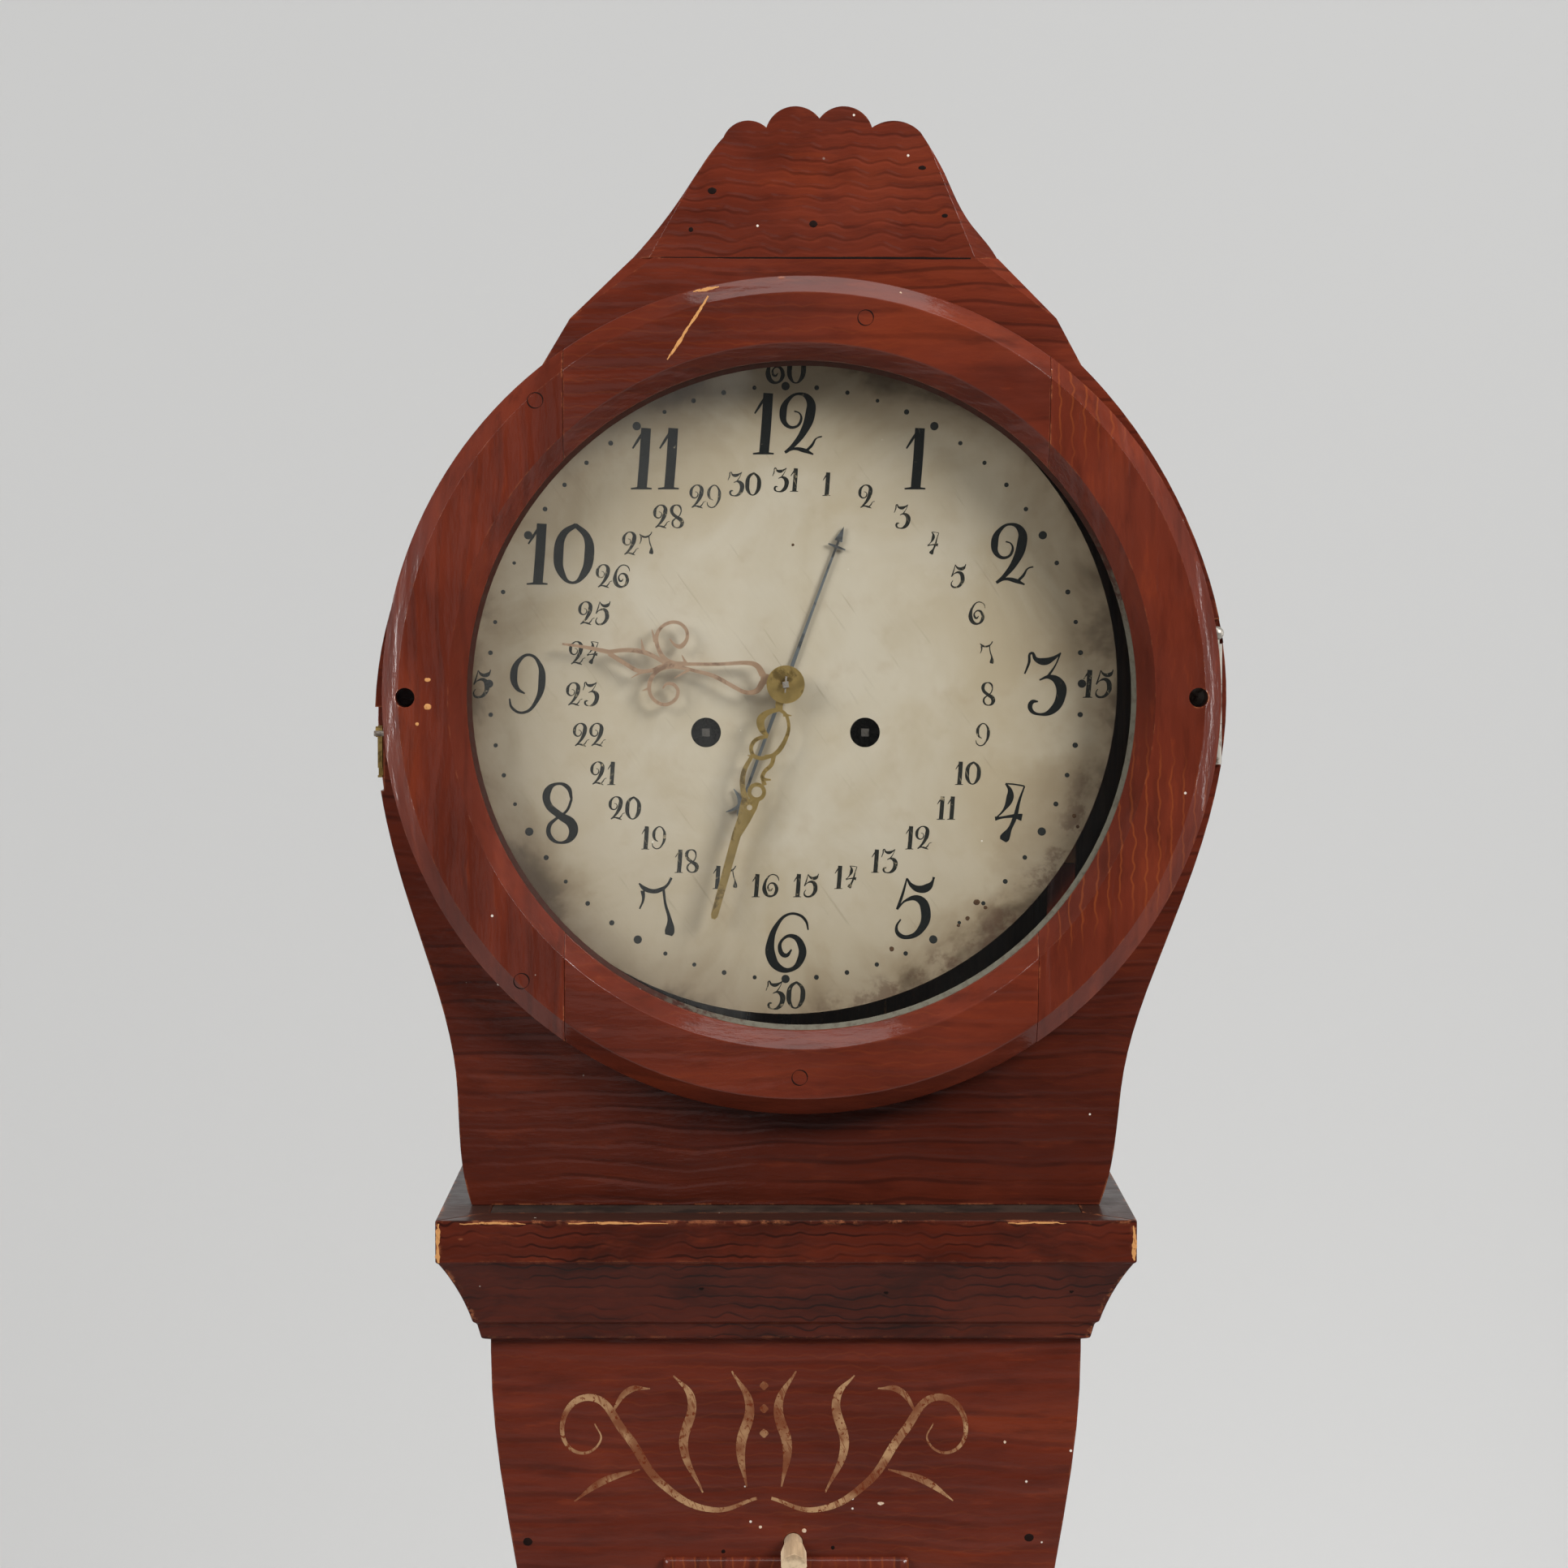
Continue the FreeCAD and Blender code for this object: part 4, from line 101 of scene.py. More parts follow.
class Recipe:
    """Lays out the nodes of one finish."""

    def __init__(self, name: str) -> None:
        """Starts an empty material with one surface shader.

        Args:
            name: The finish's name.
        """
        self.material = bpy.data.materials.new(name)
        self.material.use_nodes = True
        self.tree = self.material.node_tree
        self.tree.nodes.clear()
        self.skin = self.tree.nodes.new("ShaderNodeBsdfPrincipled")
        output = self.tree.nodes.new("ShaderNodeOutputMaterial")
        self.tree.links.new(self.skin.outputs[0], output.inputs["Surface"])

    def feed(self, socket: Socket, value: object) -> None:
        """Gives a socket a constant or another node's result.

        Args:
            socket: The socket.
            value: What it gets.
        """
        if isinstance(value, Socket):
            self.tree.links.new(value, socket)
        else:
            socket.default_value = value

    def add(self, kind: str, feeds: dict, **settings: object) -> bpy.types.Node:
        """Adds a node.

        Args:
            kind: The node's type.
            feeds: What goes into each input, by name or number.
            **settings: The node's own settings.

        Returns:
            The new node.
        """
        node = self.tree.nodes.new(kind)
        for key, value in settings.items():
            setattr(node, key, value)
        for key, value in feeds.items():
            self.feed(node.inputs[key], value)
        return node

    def spot(self) -> Socket:
        """The point on the piece."""
        return self.add("ShaderNodeTexCoord", {}).outputs["Object"]

    def place(self, run: Run = Run.ACROSS, shift: float = 0.0) -> Socket:
        """The point on the piece, with X along the grain and its own share of the pattern.

        Args:
            run: The way the grain runs.
            shift: How far the pattern is moved.

        Returns:
            The point.
        """
        feeds = {0: self.spot(), "Location": (shift, shift * 0.37, shift * 0.61), "Rotation": run.value}
        return self.add("ShaderNodeMapping", feeds).outputs[0]

    def from_centre(self, centre: Point) -> Socket:
        """The way from a centre to the point on the piece."""
        return self.add("ShaderNodeVectorMath", {0: self.spot(), 1: centre}, operation="SUBTRACT").outputs[0]

    def stretch(self, spot: Socket, scale: Sequence[float], turn: float = 0.0) -> Socket:
        """Stretches a pattern's space, after a turn in the face's plane.

        Args:
            spot: The point.
            scale: The scale along each axis.
            turn: The turn, in radians.

        Returns:
            The point in the stretched space.
        """
        if turn:
            spot = self.add("ShaderNodeMapping", {0: spot, "Rotation": (0.0, turn, 0.0)}).outputs[0]
        return self.add("ShaderNodeMapping", {0: spot, "Scale": tuple(scale)}).outputs[0]

    def cloud(self, spot: Socket, scale: float, detail: float = 4.0, rough: float = 0.55, bend: float = 0.0) -> Socket:
        """Soft random tone from 0 to 1."""
        feeds = {"Vector": spot, "Scale": scale, "Detail": detail, "Roughness": rough, "Distortion": bend}
        return self.add("ShaderNodeTexNoise", feeds).outputs[0]

    def bands(self, spot: Socket, pitch: float, bend: float, detail: float, fine: float) -> Socket:
        """Wavy bands along X, a pitch apart along Z."""
        feeds = {"Vector": spot, "Scale": WAVE_SPACING / pitch, "Distortion": bend, "Detail": detail,
                 "Detail Scale": fine}
        return self.add("ShaderNodeTexWave", feeds, bands_direction="Z").outputs[1]

    def cells(self, spot: Socket, scale: float) -> Socket:
        """Distance to the nearest of many scattered points."""
        return self.add("ShaderNodeTexVoronoi", {"Vector": spot, "Scale": scale}).outputs["Distance"]

    def grade(self, value: Socket, low: float, high: float, start: float = 0.0, end: float = 1.0) -> Socket:
        """Maps a value between two limits, clamped."""
        feeds = {"Value": value, "From Min": low, "From Max": high, "To Min": start, "To Max": end}
        return self.add("ShaderNodeMapRange", feeds, interpolation_type="SMOOTHSTEP").outputs[0]

    def sum(self, kind: str, first: object, second: object) -> Socket:
        """One step of arithmetic."""
        return self.add("ShaderNodeMath", {0: first, 1: second}, operation=kind).outputs[0]

    def times(self, first: object, second: object) -> Socket:
        """One value times another."""
        return self.sum("MULTIPLY", first, second)

    def plus(self, first: object, second: object) -> Socket:
        """Two values together."""
        return self.sum("ADD", first, second)

    def across_and_down(self, spot: Socket) -> Socket:
        """How far a point is to the right and down, together."""
        parts = self.add("ShaderNodeSeparateXYZ", {0: spot})
        return self.sum("SUBTRACT", parts.outputs[0], parts.outputs[2])

    def layers(self, body: object, *coats: tuple[object, Colour]) -> object:
        """Lays coats of colour over one another.

        Args:
            body: The colour that is under them.
            *coats: Each coat's share and its colour, the lowest first.

        Returns:
            The colour that shows.
        """
        for share, colour in coats:
            body = self.add("ShaderNodeMix", {0: share, 6: body, 7: colour}, data_type="RGBA").outputs[2]
        return body

    def edges(self, reach: float) -> Socket:
        """How near a point is to a sharp edge.

        Args:
            reach: How far from the edge it is felt.

        Returns:
            A share from 0 to about 1.
        """
        soft = self.add("ShaderNodeBevel", {"Radius": reach}, samples=6).outputs[0]
        hard = self.add("ShaderNodeNewGeometry", {}).outputs["Normal"]
        match = self.add("ShaderNodeVectorMath", {0: soft, 1: hard}, operation="DOT_PRODUCT").outputs["Value"]
        return self.grade(self.sum("SUBTRACT", 1.0, match), 0.01, 0.22)

    def relief(self, height: Socket, depth: float, strength: float) -> None:
        """Raises the surface and its varnish by a height map.

        Args:
            height: The height map.
            depth: How high a height of 1 stands.
            strength: How much of it shows.
        """
        bump = self.add("ShaderNodeBump", {"Height": height, "Distance": depth, "Strength": strength})
        for name in ("Normal", "Coat Normal"):
            self.feed(self.skin.inputs[name], bump.outputs[0])

    def finish(self, colour: object, rough: object, **constants: float) -> Material:
        """Sets the surface.

        Args:
            colour: Colour or node result.
            rough: Roughness or node result.
            **constants: Other sockets of the surface shader, with _ for a space.

        Returns:
            The finished material.
        """
        self.feed(self.skin.inputs["Base Color"], colour)
        self.feed(self.skin.inputs["Roughness"], rough)
        for name, value in constants.items():
            self.skin.inputs[name.replace("_", " ")].default_value = value
        return self.material


class Finish:
    """A finish that is mixed once and kept."""

    made: dict[str, Material] = {}

    def mix(self) -> Material:
        """Mixes the finish."""
        raise NotImplementedError

    def material(self) -> Material:
        """The finish's material, mixed the first time it is asked for.

        Returns:
            The material.
        """
        key = repr(self)
        if key not in Finish.made:
            Finish.made[key] = self.mix()
        return Finish.made[key]


@dataclass(frozen=True)
class PaintedPine(Finish):
    """Red-brown paint combed with darker wavy lines, under old glossy varnish."""

    name: str = "red_pine"
    body: Colour = tone(105, 42, 26)
    dark: Colour = tone(76, 28, 17)
    warm: Colour = tone(128, 53, 28)
    line: Colour = tone(46, 18, 12)
    glint: Colour = tone(176, 92, 40)
    sooty: Colour = tone(34, 18, 13)
    dust: Colour = tone(50, 39, 33)
    shade: Colour = tone(20, 4, 1)
    wood: Colour = tone(184, 112, 72)
    # fleck is the colour of small pale flecks: partly white specks in the paint, partly painted highlights for sparkles
    # of light.
    fleck: Colour = tone(226, 214, 200)
    combed: float = 0.5
    glints: float = 0.1
    worn: float = 0.6
    soot: float = 0.15
    run: Run = Run.ACROSS
    shift: float = 0.0
    pitch: float = 15 * MM
    swell: float = 0.55
    wear: float = 2.0 * MM
    gloss: float = 0.5
    dusty: float = 0.0
    ridges: float = 0.25
    dim: float = 0.0
    dim_low: float = 10.0
    dim_high: float = 11.0

    def mix(self) -> Material:
        """Mixes the paint.

        Returns:
            The material.
        """
        paint = Recipe(self.name)
        spot = paint.place(self.run, self.shift)
        half = paint.stretch(spot, (0.5, 1, 1))
        long_spot = paint.stretch(spot, (0.22, 1, 1))
        streak = paint.cloud(long_spot, 130.0, 5.0, 0.6)
        broad = paint.cloud(long_spot, 26.0, 4.0, 0.55, 0.6)
        patch = paint.cloud(spot, 6.0, 3.0, 0.5, 0.6)
        wave = paint.bands(paint.stretch(spot, (self.swell, 1, 1)), self.pitch, 5.0, 1.2, 0.8)
        broken = paint.cloud(half, 30.0, 3.0, 0.6)
        comb = paint.times(paint.grade(wave, 0.84, 1.0), paint.grade(broken, 0.4, 0.6, 0.1, 1.0))
        ripple = paint.bands(paint.stretch(spot, (1.6, 1, 1)), self.pitch * 0.45, 4.0, 2.0, 0.9)
        pale = paint.times(paint.grade(ripple, 0.9, 1.0), paint.grade(patch, 0.42, 0.58))
        smoke = paint.grade(paint.cloud(paint.stretch(spot, (0.6, 1, 1.6)), 14.0, 5.0, 0.65, 1.6), 0.42, 0.66)
        body = paint.layers(
            self.body,
            (paint.grade(broad, 0.38, 0.7, 0.0, 0.6), self.dark),
            (paint.grade(broad, 0.28, 0.46, 0.45, 0.0), self.warm),
            (paint.grade(streak, 0.5, 0.72, 0.0, 0.5), self.dark),
            (paint.grade(streak, 0.3, 0.42, 0.35, 0.0), self.warm),
            (paint.grade(patch, 0.48, 0.72, 0.0, 0.4), self.dark),
            (paint.times(comb, self.combed), self.line),
            (paint.times(pale, self.glints), self.glint),
            (paint.times(smoke, self.soot), self.sooty),
        )
        if self.dusty:
            facing = paint.add("ShaderNodeNewGeometry", {}).outputs["Normal"]
            up = paint.add("ShaderNodeSeparateXYZ", {0: facing}).outputs[2]
            body = paint.layers(body, (paint.grade(up, 0.6, 0.95, 0.0, self.dusty), self.dust))
        # Painted shade: below dim_high the paint is darkened towards the shade colour, by the share dim at and below
        # dim_low. On the hood front this stands for the ring's shadow on the lower hood; on the cornice, whose limits
        # lie above it, the whole board is darkened evenly.
        if self.dim:
            rise = paint.add("ShaderNodeSeparateXYZ", {0: paint.spot()}).outputs[2]
            body = paint.layers(body, (paint.grade(rise, self.dim_low, self.dim_high, self.dim, 0.0), self.shade))
        bare = paint.times(paint.edges(self.wear), paint.grade(paint.cloud(spot, 90.0, 4.0, 0.7), 0.5, 0.62))
        nick = paint.times(paint.grade(paint.cells(half, 34.0), 0.05, 0.02),
                           paint.grade(paint.cloud(spot, 13.0, 2.0), 0.54, 0.6))
        gone = paint.sum("MAXIMUM", paint.times(bare, self.worn), paint.times(nick, 0.85))
        # Pale flecks: partly white specks in the paint and partly painted highlights that stand for sparkles of light
        # on the varnish.
        speck_and_sparkle = paint.times(paint.grade(paint.cells(spot, 58.0), 0.05, 0.035),
                            paint.grade(paint.cloud(spot, 8.0, 2.0), 0.52, 0.56))
        body = paint.layers(body, (gone, self.wood), (speck_and_sparkle, self.fleck))
        height = paint.plus(paint.times(streak, 0.7), paint.times(broad, 0.9))
        height = paint.sum("SUBTRACT", height, paint.times(paint.grade(wave, 0.3, 1.0), self.ridges))
        paint.relief(paint.sum("SUBTRACT", height, paint.times(gone, 0.5)), 0.8 * MM, 0.6)
        rough = paint.grade(paint.cloud(spot, 16.0, 4.0, 0.65), 0.3, 0.75, 0.3, 0.5)
        rough = paint.sum("MAXIMUM", rough, paint.times(gone, 0.7))
        return paint.finish(body, rough, Coat_Weight=self.gloss, Coat_Roughness=0.1, Specular_IOR_Level=0.12)


@dataclass(frozen=True)
class BarePine(Finish):
    """Unpainted pine, darkened by age and dust."""

    name: str = "bare_pine"
    pale: Colour = tone(176, 138, 94)
    dark: Colour = tone(112, 76, 44)
    run: Run = Run.UPRIGHT
    fibre: Colour = tone(90, 58, 34)
    dust: Colour = tone(70, 56, 44)
    pitch: float = 11 * MM

    def mix(self) -> Material:
        """Mixes the bare wood.

        Returns:
            The material.
        """
        wood = Recipe(self.name)
        spot = wood.place(self.run)
        rings = wood.bands(wood.stretch(spot, (0.08, 0.6, 1)), self.pitch, 7.0, 3.0, 0.8)
        fibre = wood.cloud(wood.stretch(spot, (8, 160, 220)), 1.0, 5.0, 0.6)
        dust = wood.cloud(spot, 5.0, 4.0, 0.6)
        body = wood.layers(
            self.pale,
            (wood.grade(rings, 0.1, 0.95, 0.1, 0.6), self.dark),
            (wood.grade(fibre, 0.4, 0.7, 0.0, 0.5), self.fibre),
            (wood.grade(dust, 0.45, 0.8, 0.0, 0.45), self.dust),
        )
        wood.relief(wood.plus(wood.times(fibre, 0.6), wood.times(rings, 0.4)), 0.4 * MM, 0.6)
        return wood.finish(body, wood.grade(dust, 0.3, 0.8, 0.6, 0.85))


@dataclass(frozen=True)
class AgedMetal(Finish):
    """Metal with tarnish in patches, fine scratches and wear on its edges."""

    name: str
    bright: Colour
    tarnish: Colour
    rough: float
    cover: float
    metallic: float
    scale: float = 90.0
    wear: float = 0.5 * MM

    def mix(self) -> Material:
        """Mixes the metal.

        Returns:
            The material.
        """
        metal = Recipe(self.name)
        spot = metal.place()
        patch = metal.cloud(spot, self.scale, 5.0, 0.65, 0.4)
        scratch = metal.cloud(metal.stretch(spot, (900, 400, 60), 0.5), 1.0, 3.0, 0.5)
        start = 0.62 - self.cover * 0.3
        cover = metal.sum("SUBTRACT", metal.grade(patch, start, start + 0.16), metal.times(metal.edges(self.wear), 0.6))
        body = metal.layers(self.bright, (metal.sum("MAXIMUM", cover, 0.0), self.tarnish))
        metal.relief(metal.plus(metal.times(patch, 0.6), metal.times(scratch, 0.4)), 0.12 * MM, 0.5)
        rough = metal.grade(patch, 0.3, 0.7, self.rough, min(self.rough + 0.25, 1.0))
        return metal.finish(body, rough, Metallic=self.metallic)


@dataclass(frozen=True)
class DialPaint(Finish):
    """Cream paint on iron, yellowed and stained towards its edge; the darkening at its rim is partly painted shade
    under the ring.
    """

    centre: Point
    radius: float
    name: str = "dial_cream"

    def mix(self) -> Material:
        """Mixes the dial paint.

        Returns:
            The material.
        """
        paint = Recipe(self.name)
        spot = paint.from_centre(self.centre)
        away = paint.add("ShaderNodeVectorMath", {0: spot}, operation="LENGTH").outputs["Value"]
        share = paint.sum("DIVIDE", away, self.radius)
        haze = paint.cloud(spot, 14.0, 5.0, 0.6, 0.5)
        mottle = paint.cloud(spot, 60.0, 4.0, 0.6)
        brushed = paint.cloud(paint.stretch(spot, (420, 60, 22), 0.62), 1.0, 3.0, 0.55)
        rim = paint.plus(share, paint.grade(haze, 0.3, 0.7, -0.09, 0.09))
        foxed = paint.times(paint.grade(paint.across_and_down(spot), 0.17, 0.235), paint.grade(share, 0.87, 0.98))
        foxed = paint.times(foxed, paint.grade(paint.cloud(spot, 42.0, 5.0, 0.7), 0.48, 0.6))
        fleck = paint.sum("LESS_THAN", paint.cells(spot, 62.0), 0.03)
        fleck = paint.times(fleck, paint.grade(paint.cloud(spot, 9.0, 2.0), 0.52, 0.56))
        body = paint.layers(
            tone(198, 189, 168),
            (paint.grade(haze, 0.35, 0.7), tone(188, 176, 150)),
            (paint.grade(mottle, 0.5, 0.75, 0.0, 0.3), tone(170, 152, 122)),
            # Darker and browner towards the edge: partly aged paint, partly painted shade under the ring's lip.
            (paint.grade(rim, 0.3, 0.9, 0.0, 0.5), tone(163, 145, 111)),
            (paint.grade(rim, 0.74, 1.03, 0.0, 0.6), tone(126, 105, 75)),
            (paint.grade(rim, 0.93, 1.05, 0.0, 0.75), tone(74, 58, 40)),
            (paint.times(foxed, 0.62), tone(84, 54, 34)),
            (paint.grade(brushed, 0.62, 0.74, 0.0, 0.3), tone(140, 126, 100)),
            (paint.times(fleck, 0.8), tone(232, 228, 214)),
        )
        paint.relief(paint.plus(brushed, mottle), 0.15 * MM, 0.4)
        return paint.finish(body, paint.grade(mottle, 0.3, 0.7, 0.42, 0.62))


@dataclass(frozen=True)
class Ink(Finish):
    """Thin brushed paint that has flaked, so what is under it shows through."""

    name: str
    colour: Colour
    under: Colour
    flaked: float
    scale: float = 260.0
    thin: float = 0.0

    def mix(self) -> Material:
        """Mixes the ink.

        Returns:
            The material.
        """
        ink = Recipe(self.name)
        spot = ink.place()
        chip = ink.cloud(spot, self.scale, 4.0, 0.7)
        streak = ink.cloud(ink.stretch(spot, (900, 200, 90), 0.4), 1.0, 3.0, 0.6)
        gone = ink.sum("MAXIMUM", ink.grade(chip, 0.78 - self.flaked * 0.4, 0.86 - self.flaked * 0.4),
                       ink.grade(streak, 0.86 - self.flaked * 0.5, 0.94 - self.flaked * 0.5, 0.0, 0.7))
        worn = ink.cloud(ink.stretch(spot, (0.7, 1, 1)), 46.0, 3.0, 0.6)
        body = ink.layers(self.colour, (gone, self.under), (ink.grade(worn, 0.36, 0.62, 0.0, self.thin), self.under))
        ink.relief(chip, 0.05 * MM, 0.3)
        return ink.finish(body, 0.5, Specular_IOR_Level=0.1)


@dataclass(frozen=True)
class OldGlass(Finish):
    """Thin drawn glass with slow ripples and a little dust."""

    name: str = "window_glass"

    def mix(self) -> Material:
        """Mixes the glass.

        Returns:
            The material.
        """
        glass = Recipe(self.name)
        spot = glass.place()
        facing = glass.add("ShaderNodeLayerWeight", {"Blend": 0.5}).outputs["Facing"]
        mirror = glass.times(glass.sum("POWER", facing, 5.0), 0.6)
        dust = glass.grade(glass.cloud(spot, 30.0, 4.0, 0.6), 0.3, 0.8, 0.028, 0.042)
        glass.feed(glass.skin.inputs["Alpha"], glass.plus(mirror, dust))
        glass.relief(glass.cloud(spot, 11.0, 2.0, 0.5), 0.4 * MM, 0.4)
        return glass.finish(tone(240, 240, 236), 0.04, Specular_IOR_Level=1.0, Metallic=0.9)


@dataclass(frozen=True)
class Dry(Finish):
    """A matt stuff such as soot, gut or a nail hole's shadow, with a grainy skin."""

    name: str
    pale: Colour
    dark: Colour
    grain: float
    rough: float = 0.8

    def mix(self) -> Material:
        """Mixes the stuff.

        Returns:
            The material.
        """
        stuff = Recipe(self.name)
        spot = stuff.place()
        grain = stuff.cloud(spot, self.grain, 4.0, 0.65)
        patch = stuff.cloud(spot, self.grain / 9, 4.0, 0.6)
        body = stuff.layers(self.pale, (stuff.grade(grain, 0.35, 0.68), self.dark),
                            (stuff.grade(patch, 0.4, 0.75, 0.0, 0.5), self.dark))
        stuff.relief(grain, 0.3 * MM, 0.6)
        return stuff.finish(body, stuff.grade(patch, 0.3, 0.7, self.rough - 0.12, self.rough), Specular_IOR_Level=0.12)


@dataclass(frozen=True)
class OldPutty(Finish):
    """Putty that is dark brown at the top and left, and pale at the lower right."""

    centre: Point
    name: str = "old_putty"

    def mix(self) -> Material:
        """Mixes the putty.

        Returns:
            The material.
        """
        putty = Recipe(self.name)
        spot = putty.from_centre(self.centre)
        grain = putty.cloud(spot, 240.0, 4.0, 0.65)
        lower = putty.plus(putty.across_and_down(spot), putty.grade(grain, 0.3, 0.7, -0.03, 0.03))
        body = putty.layers(tone(58, 30, 22), (putty.grade(lower, 0.1, 0.17, 0.0, 0.75), tone(116, 115, 101)),
                            (putty.grade(grain, 0.45, 0.7, 0.0, 0.5), tone(60, 46, 38)))
        putty.relief(grain, 0.3 * MM, 0.6)
        return putty.finish(body, 0.6, Specular_IOR_Level=0.15)


def dial_centre() -> Point:
    """The middle of the dial's painted face."""
    low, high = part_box("dial_plate")
    return ((low.x + high.x) / 2, low.y, (low.z + high.z) / 2)


def dial_radius() -> float:
    """The dial plate's radius."""
    low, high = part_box("dial_plate")
    return (high.x - low.x) / 2


STEEL = AgedMetal("rusty_steel", tone(176, 170, 160), tone(92, 70, 54), 0.4, 0.45, 0.8)
BIRCH = BarePine("birch", tone(232, 206, 170), tone(206, 172, 130), Run.DEEP)
GUT = Dry("gut_line", tone(150, 112, 66), tone(96, 66, 36), 500.0, 0.6)
HOUR_INK = Ink("hour_ink", tone(26, 29, 28), tone(150, 138, 112), 0.27)
DATE_INK = Ink("date_ink", tone(40, 41, 37), tone(150, 138, 112), 0.48)
DOT_INK = Ink("dot_ink", tone(44, 46, 44), tone(120, 110, 90), 0.3)
CREAM = Ink("worn_cream", tone(176, 138, 100), tone(108, 48, 26), 0.6, 340.0, 0.85)
BARE_SCRATCH = Ink("bare_scratch", tone(206, 148, 92), tone(150, 84, 44), 0.5, 300.0)
PALE_CHIP = Dry("pale_chip", tone(226, 206, 184), tone(190, 150, 116), 400.0)
NAIL_SHADOW = Dry("nail_shadow", tone(30, 14, 9), tone(18, 9, 6), 200.0)
STAIN = Dry("dial_stain", tone(96, 72, 50), tone(60, 42, 30), 220.0, 0.6)
SOOTY = Dry("sooty_top", tone(64, 50, 42), tone(38, 30, 26), 40.0, 0.7)

SLOT_FINISHES: dict[str, Finish] = {
    RED_SLOT: PaintedPine(),
    "bare_pine": BarePine(),
    "birch": BIRCH,
    "hinge_steel": STEEL,
    "brass": AgedMetal("aged_brass", tone(178, 152, 92), tone(112, 92, 50), 0.34, 0.4, 0.8),
    "copper_brass": AgedMetal("coppery_brass", tone(180, 149, 120), tone(132, 103, 79), 0.4, 0.4, 0.5),
    "plate_iron": AgedMetal("plate_iron", tone(96, 92, 86), tone(44, 38, 34), 0.5, 0.6, 0.8),
    "blued_steel": AgedMetal("blued_steel", tone(108, 114, 116), tone(62, 62, 60), 0.42, 0.4, 0.4),
    "dial_paint": DialPaint(dial_centre(), dial_radius()),
    "old_glass": OldGlass(),
    "old_putty": OldPutty(dial_centre()),
    "gut_line": GUT,
}


def show(name: str, data: bpy.types.ID) -> bpy.types.Object:
    """Puts a mesh, lamp, curve or camera into the scene.

    Args:
        name: The object's name.
        data: What it shows.

    Returns:
        The object.
    """
    item = bpy.data.objects.new(name, data)
    bpy.context.scene.collection.objects.link(item)
    return item


def picked(items: Iterable[object], kind: type) -> list:
    """The items of one kind, such as the edges that an operator made."""
    return [item for item in items if isinstance(item, kind)]


def smooth_mesh(name: str, shape: Shape) -> bpy.types.Mesh:
    """Turns a shape into a smooth mesh and frees the shape.

    Args:
        name: The mesh's name.
        shape: The shape.

    Returns:
        The mesh.
    """
    mesh = bpy.data.meshes.new(name)
    shape.to_mesh(mesh)
    shape.free()
    mesh.shade_smooth()
    return mesh


def sliced(shape: Shape, point: Sequence[float], outwards: Vector, reach: float) -> list:
    """Cuts off what lies beyond a plane.

    Args:
        shape: The shape, which is changed.
        point: A point of the plane.
        outwards: The way out of what is kept.
        reach: How near the plane a corner counts as on it.

    Returns:
        The edges of the open cut.
    """
    everything = shape.verts[:] + shape.edges[:] + shape.faces[:]
    cut = bmesh.ops.bisect_plane(shape, geom=everything, dist=reach, plane_co=point, plane_no=outwards,
                                 clear_outer=True)
    return picked(cut["geom_cut"], bmesh.types.BMEdge)


def add_piece(name: str, shape: Shape, finish: Finish, body: str, stands_for: Sequence[str] = ()
              ) -> bpy.types.Object:
    """Turns a shape into a finished piece of the clock.

    Args:
        name: The piece's name.
        shape: Its shape, which is freed.
        finish: Its finish.
        body: The CAD body that it rides on.
        stands_for: The CAD nodes that it replaces.

    Returns:
        The piece's object.
    """
    bmesh.ops.recalc_face_normals(shape, faces=shape.faces)
    mesh = smooth_mesh(name, shape)
    mesh.set_sharp_from_angle(angle=math.radians(SHARP_DEGREES))
    mesh.materials.append(finish.material())
    piece = show(name, mesh)
    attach(piece, body)
    if stands_for:
        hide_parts(*stands_for)
    LOG.info("%s: %d faces on %s", name, len(mesh.polygons), body)
    return piece


@dataclass
class Frame:
    """What the record says of each CAD node."""

    bodies: dict[str, str] = field(default_factory=dict)

    def read(self) -> None:
        """Reads each node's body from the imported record."""
        for body, nodes in frame["record"]["behaviour"]["bodies"].items():
            for node in nodes:
                self.bodies[node] = body

    def merged(self, node: str) -> Shape:
        """A copy of a node's mesh with its loose triangles joined and its flats made whole.

        Args:
            node: The CAD node.

        Returns:
            The copy.
        """
        shape = bmesh.new()
        shape.from_mesh(frame["nodes"][node].data)
        bmesh.ops.remove_doubles(shape, verts=shape.verts, dist=MERGE_REACH)
        bmesh.ops.dissolve_limit(shape, angle_limit=math.radians(FLAT_DEGREES), verts=shape.verts, edges=shape.edges)
        return shape


CASE = Frame()


@dataclass(frozen=True)
class Chamfer:
    """A slanting cut along a line on a board's face, which takes its outer corner off."""

    low: tuple[float, float]
    high: tuple[float, float]
    side: int

    def cut(self, shape: Shape) -> None:
        """Cuts the chamfer.

        Args:
            shape: The board, which is changed.
        """
        face = min(vert.co.y for vert in shape.verts)
        run = Vector((self.high[0] - self.low[0], 0.0, self.high[1] - self.low[1])).normalized() * self.side
        rim = sliced(shape, (self.low[0], face, self.low[1]), Vector((run.z, -1.0, -run.x)), CUT_REACH)
        bmesh.ops.edgeloop_fill(shape, edges=rim)


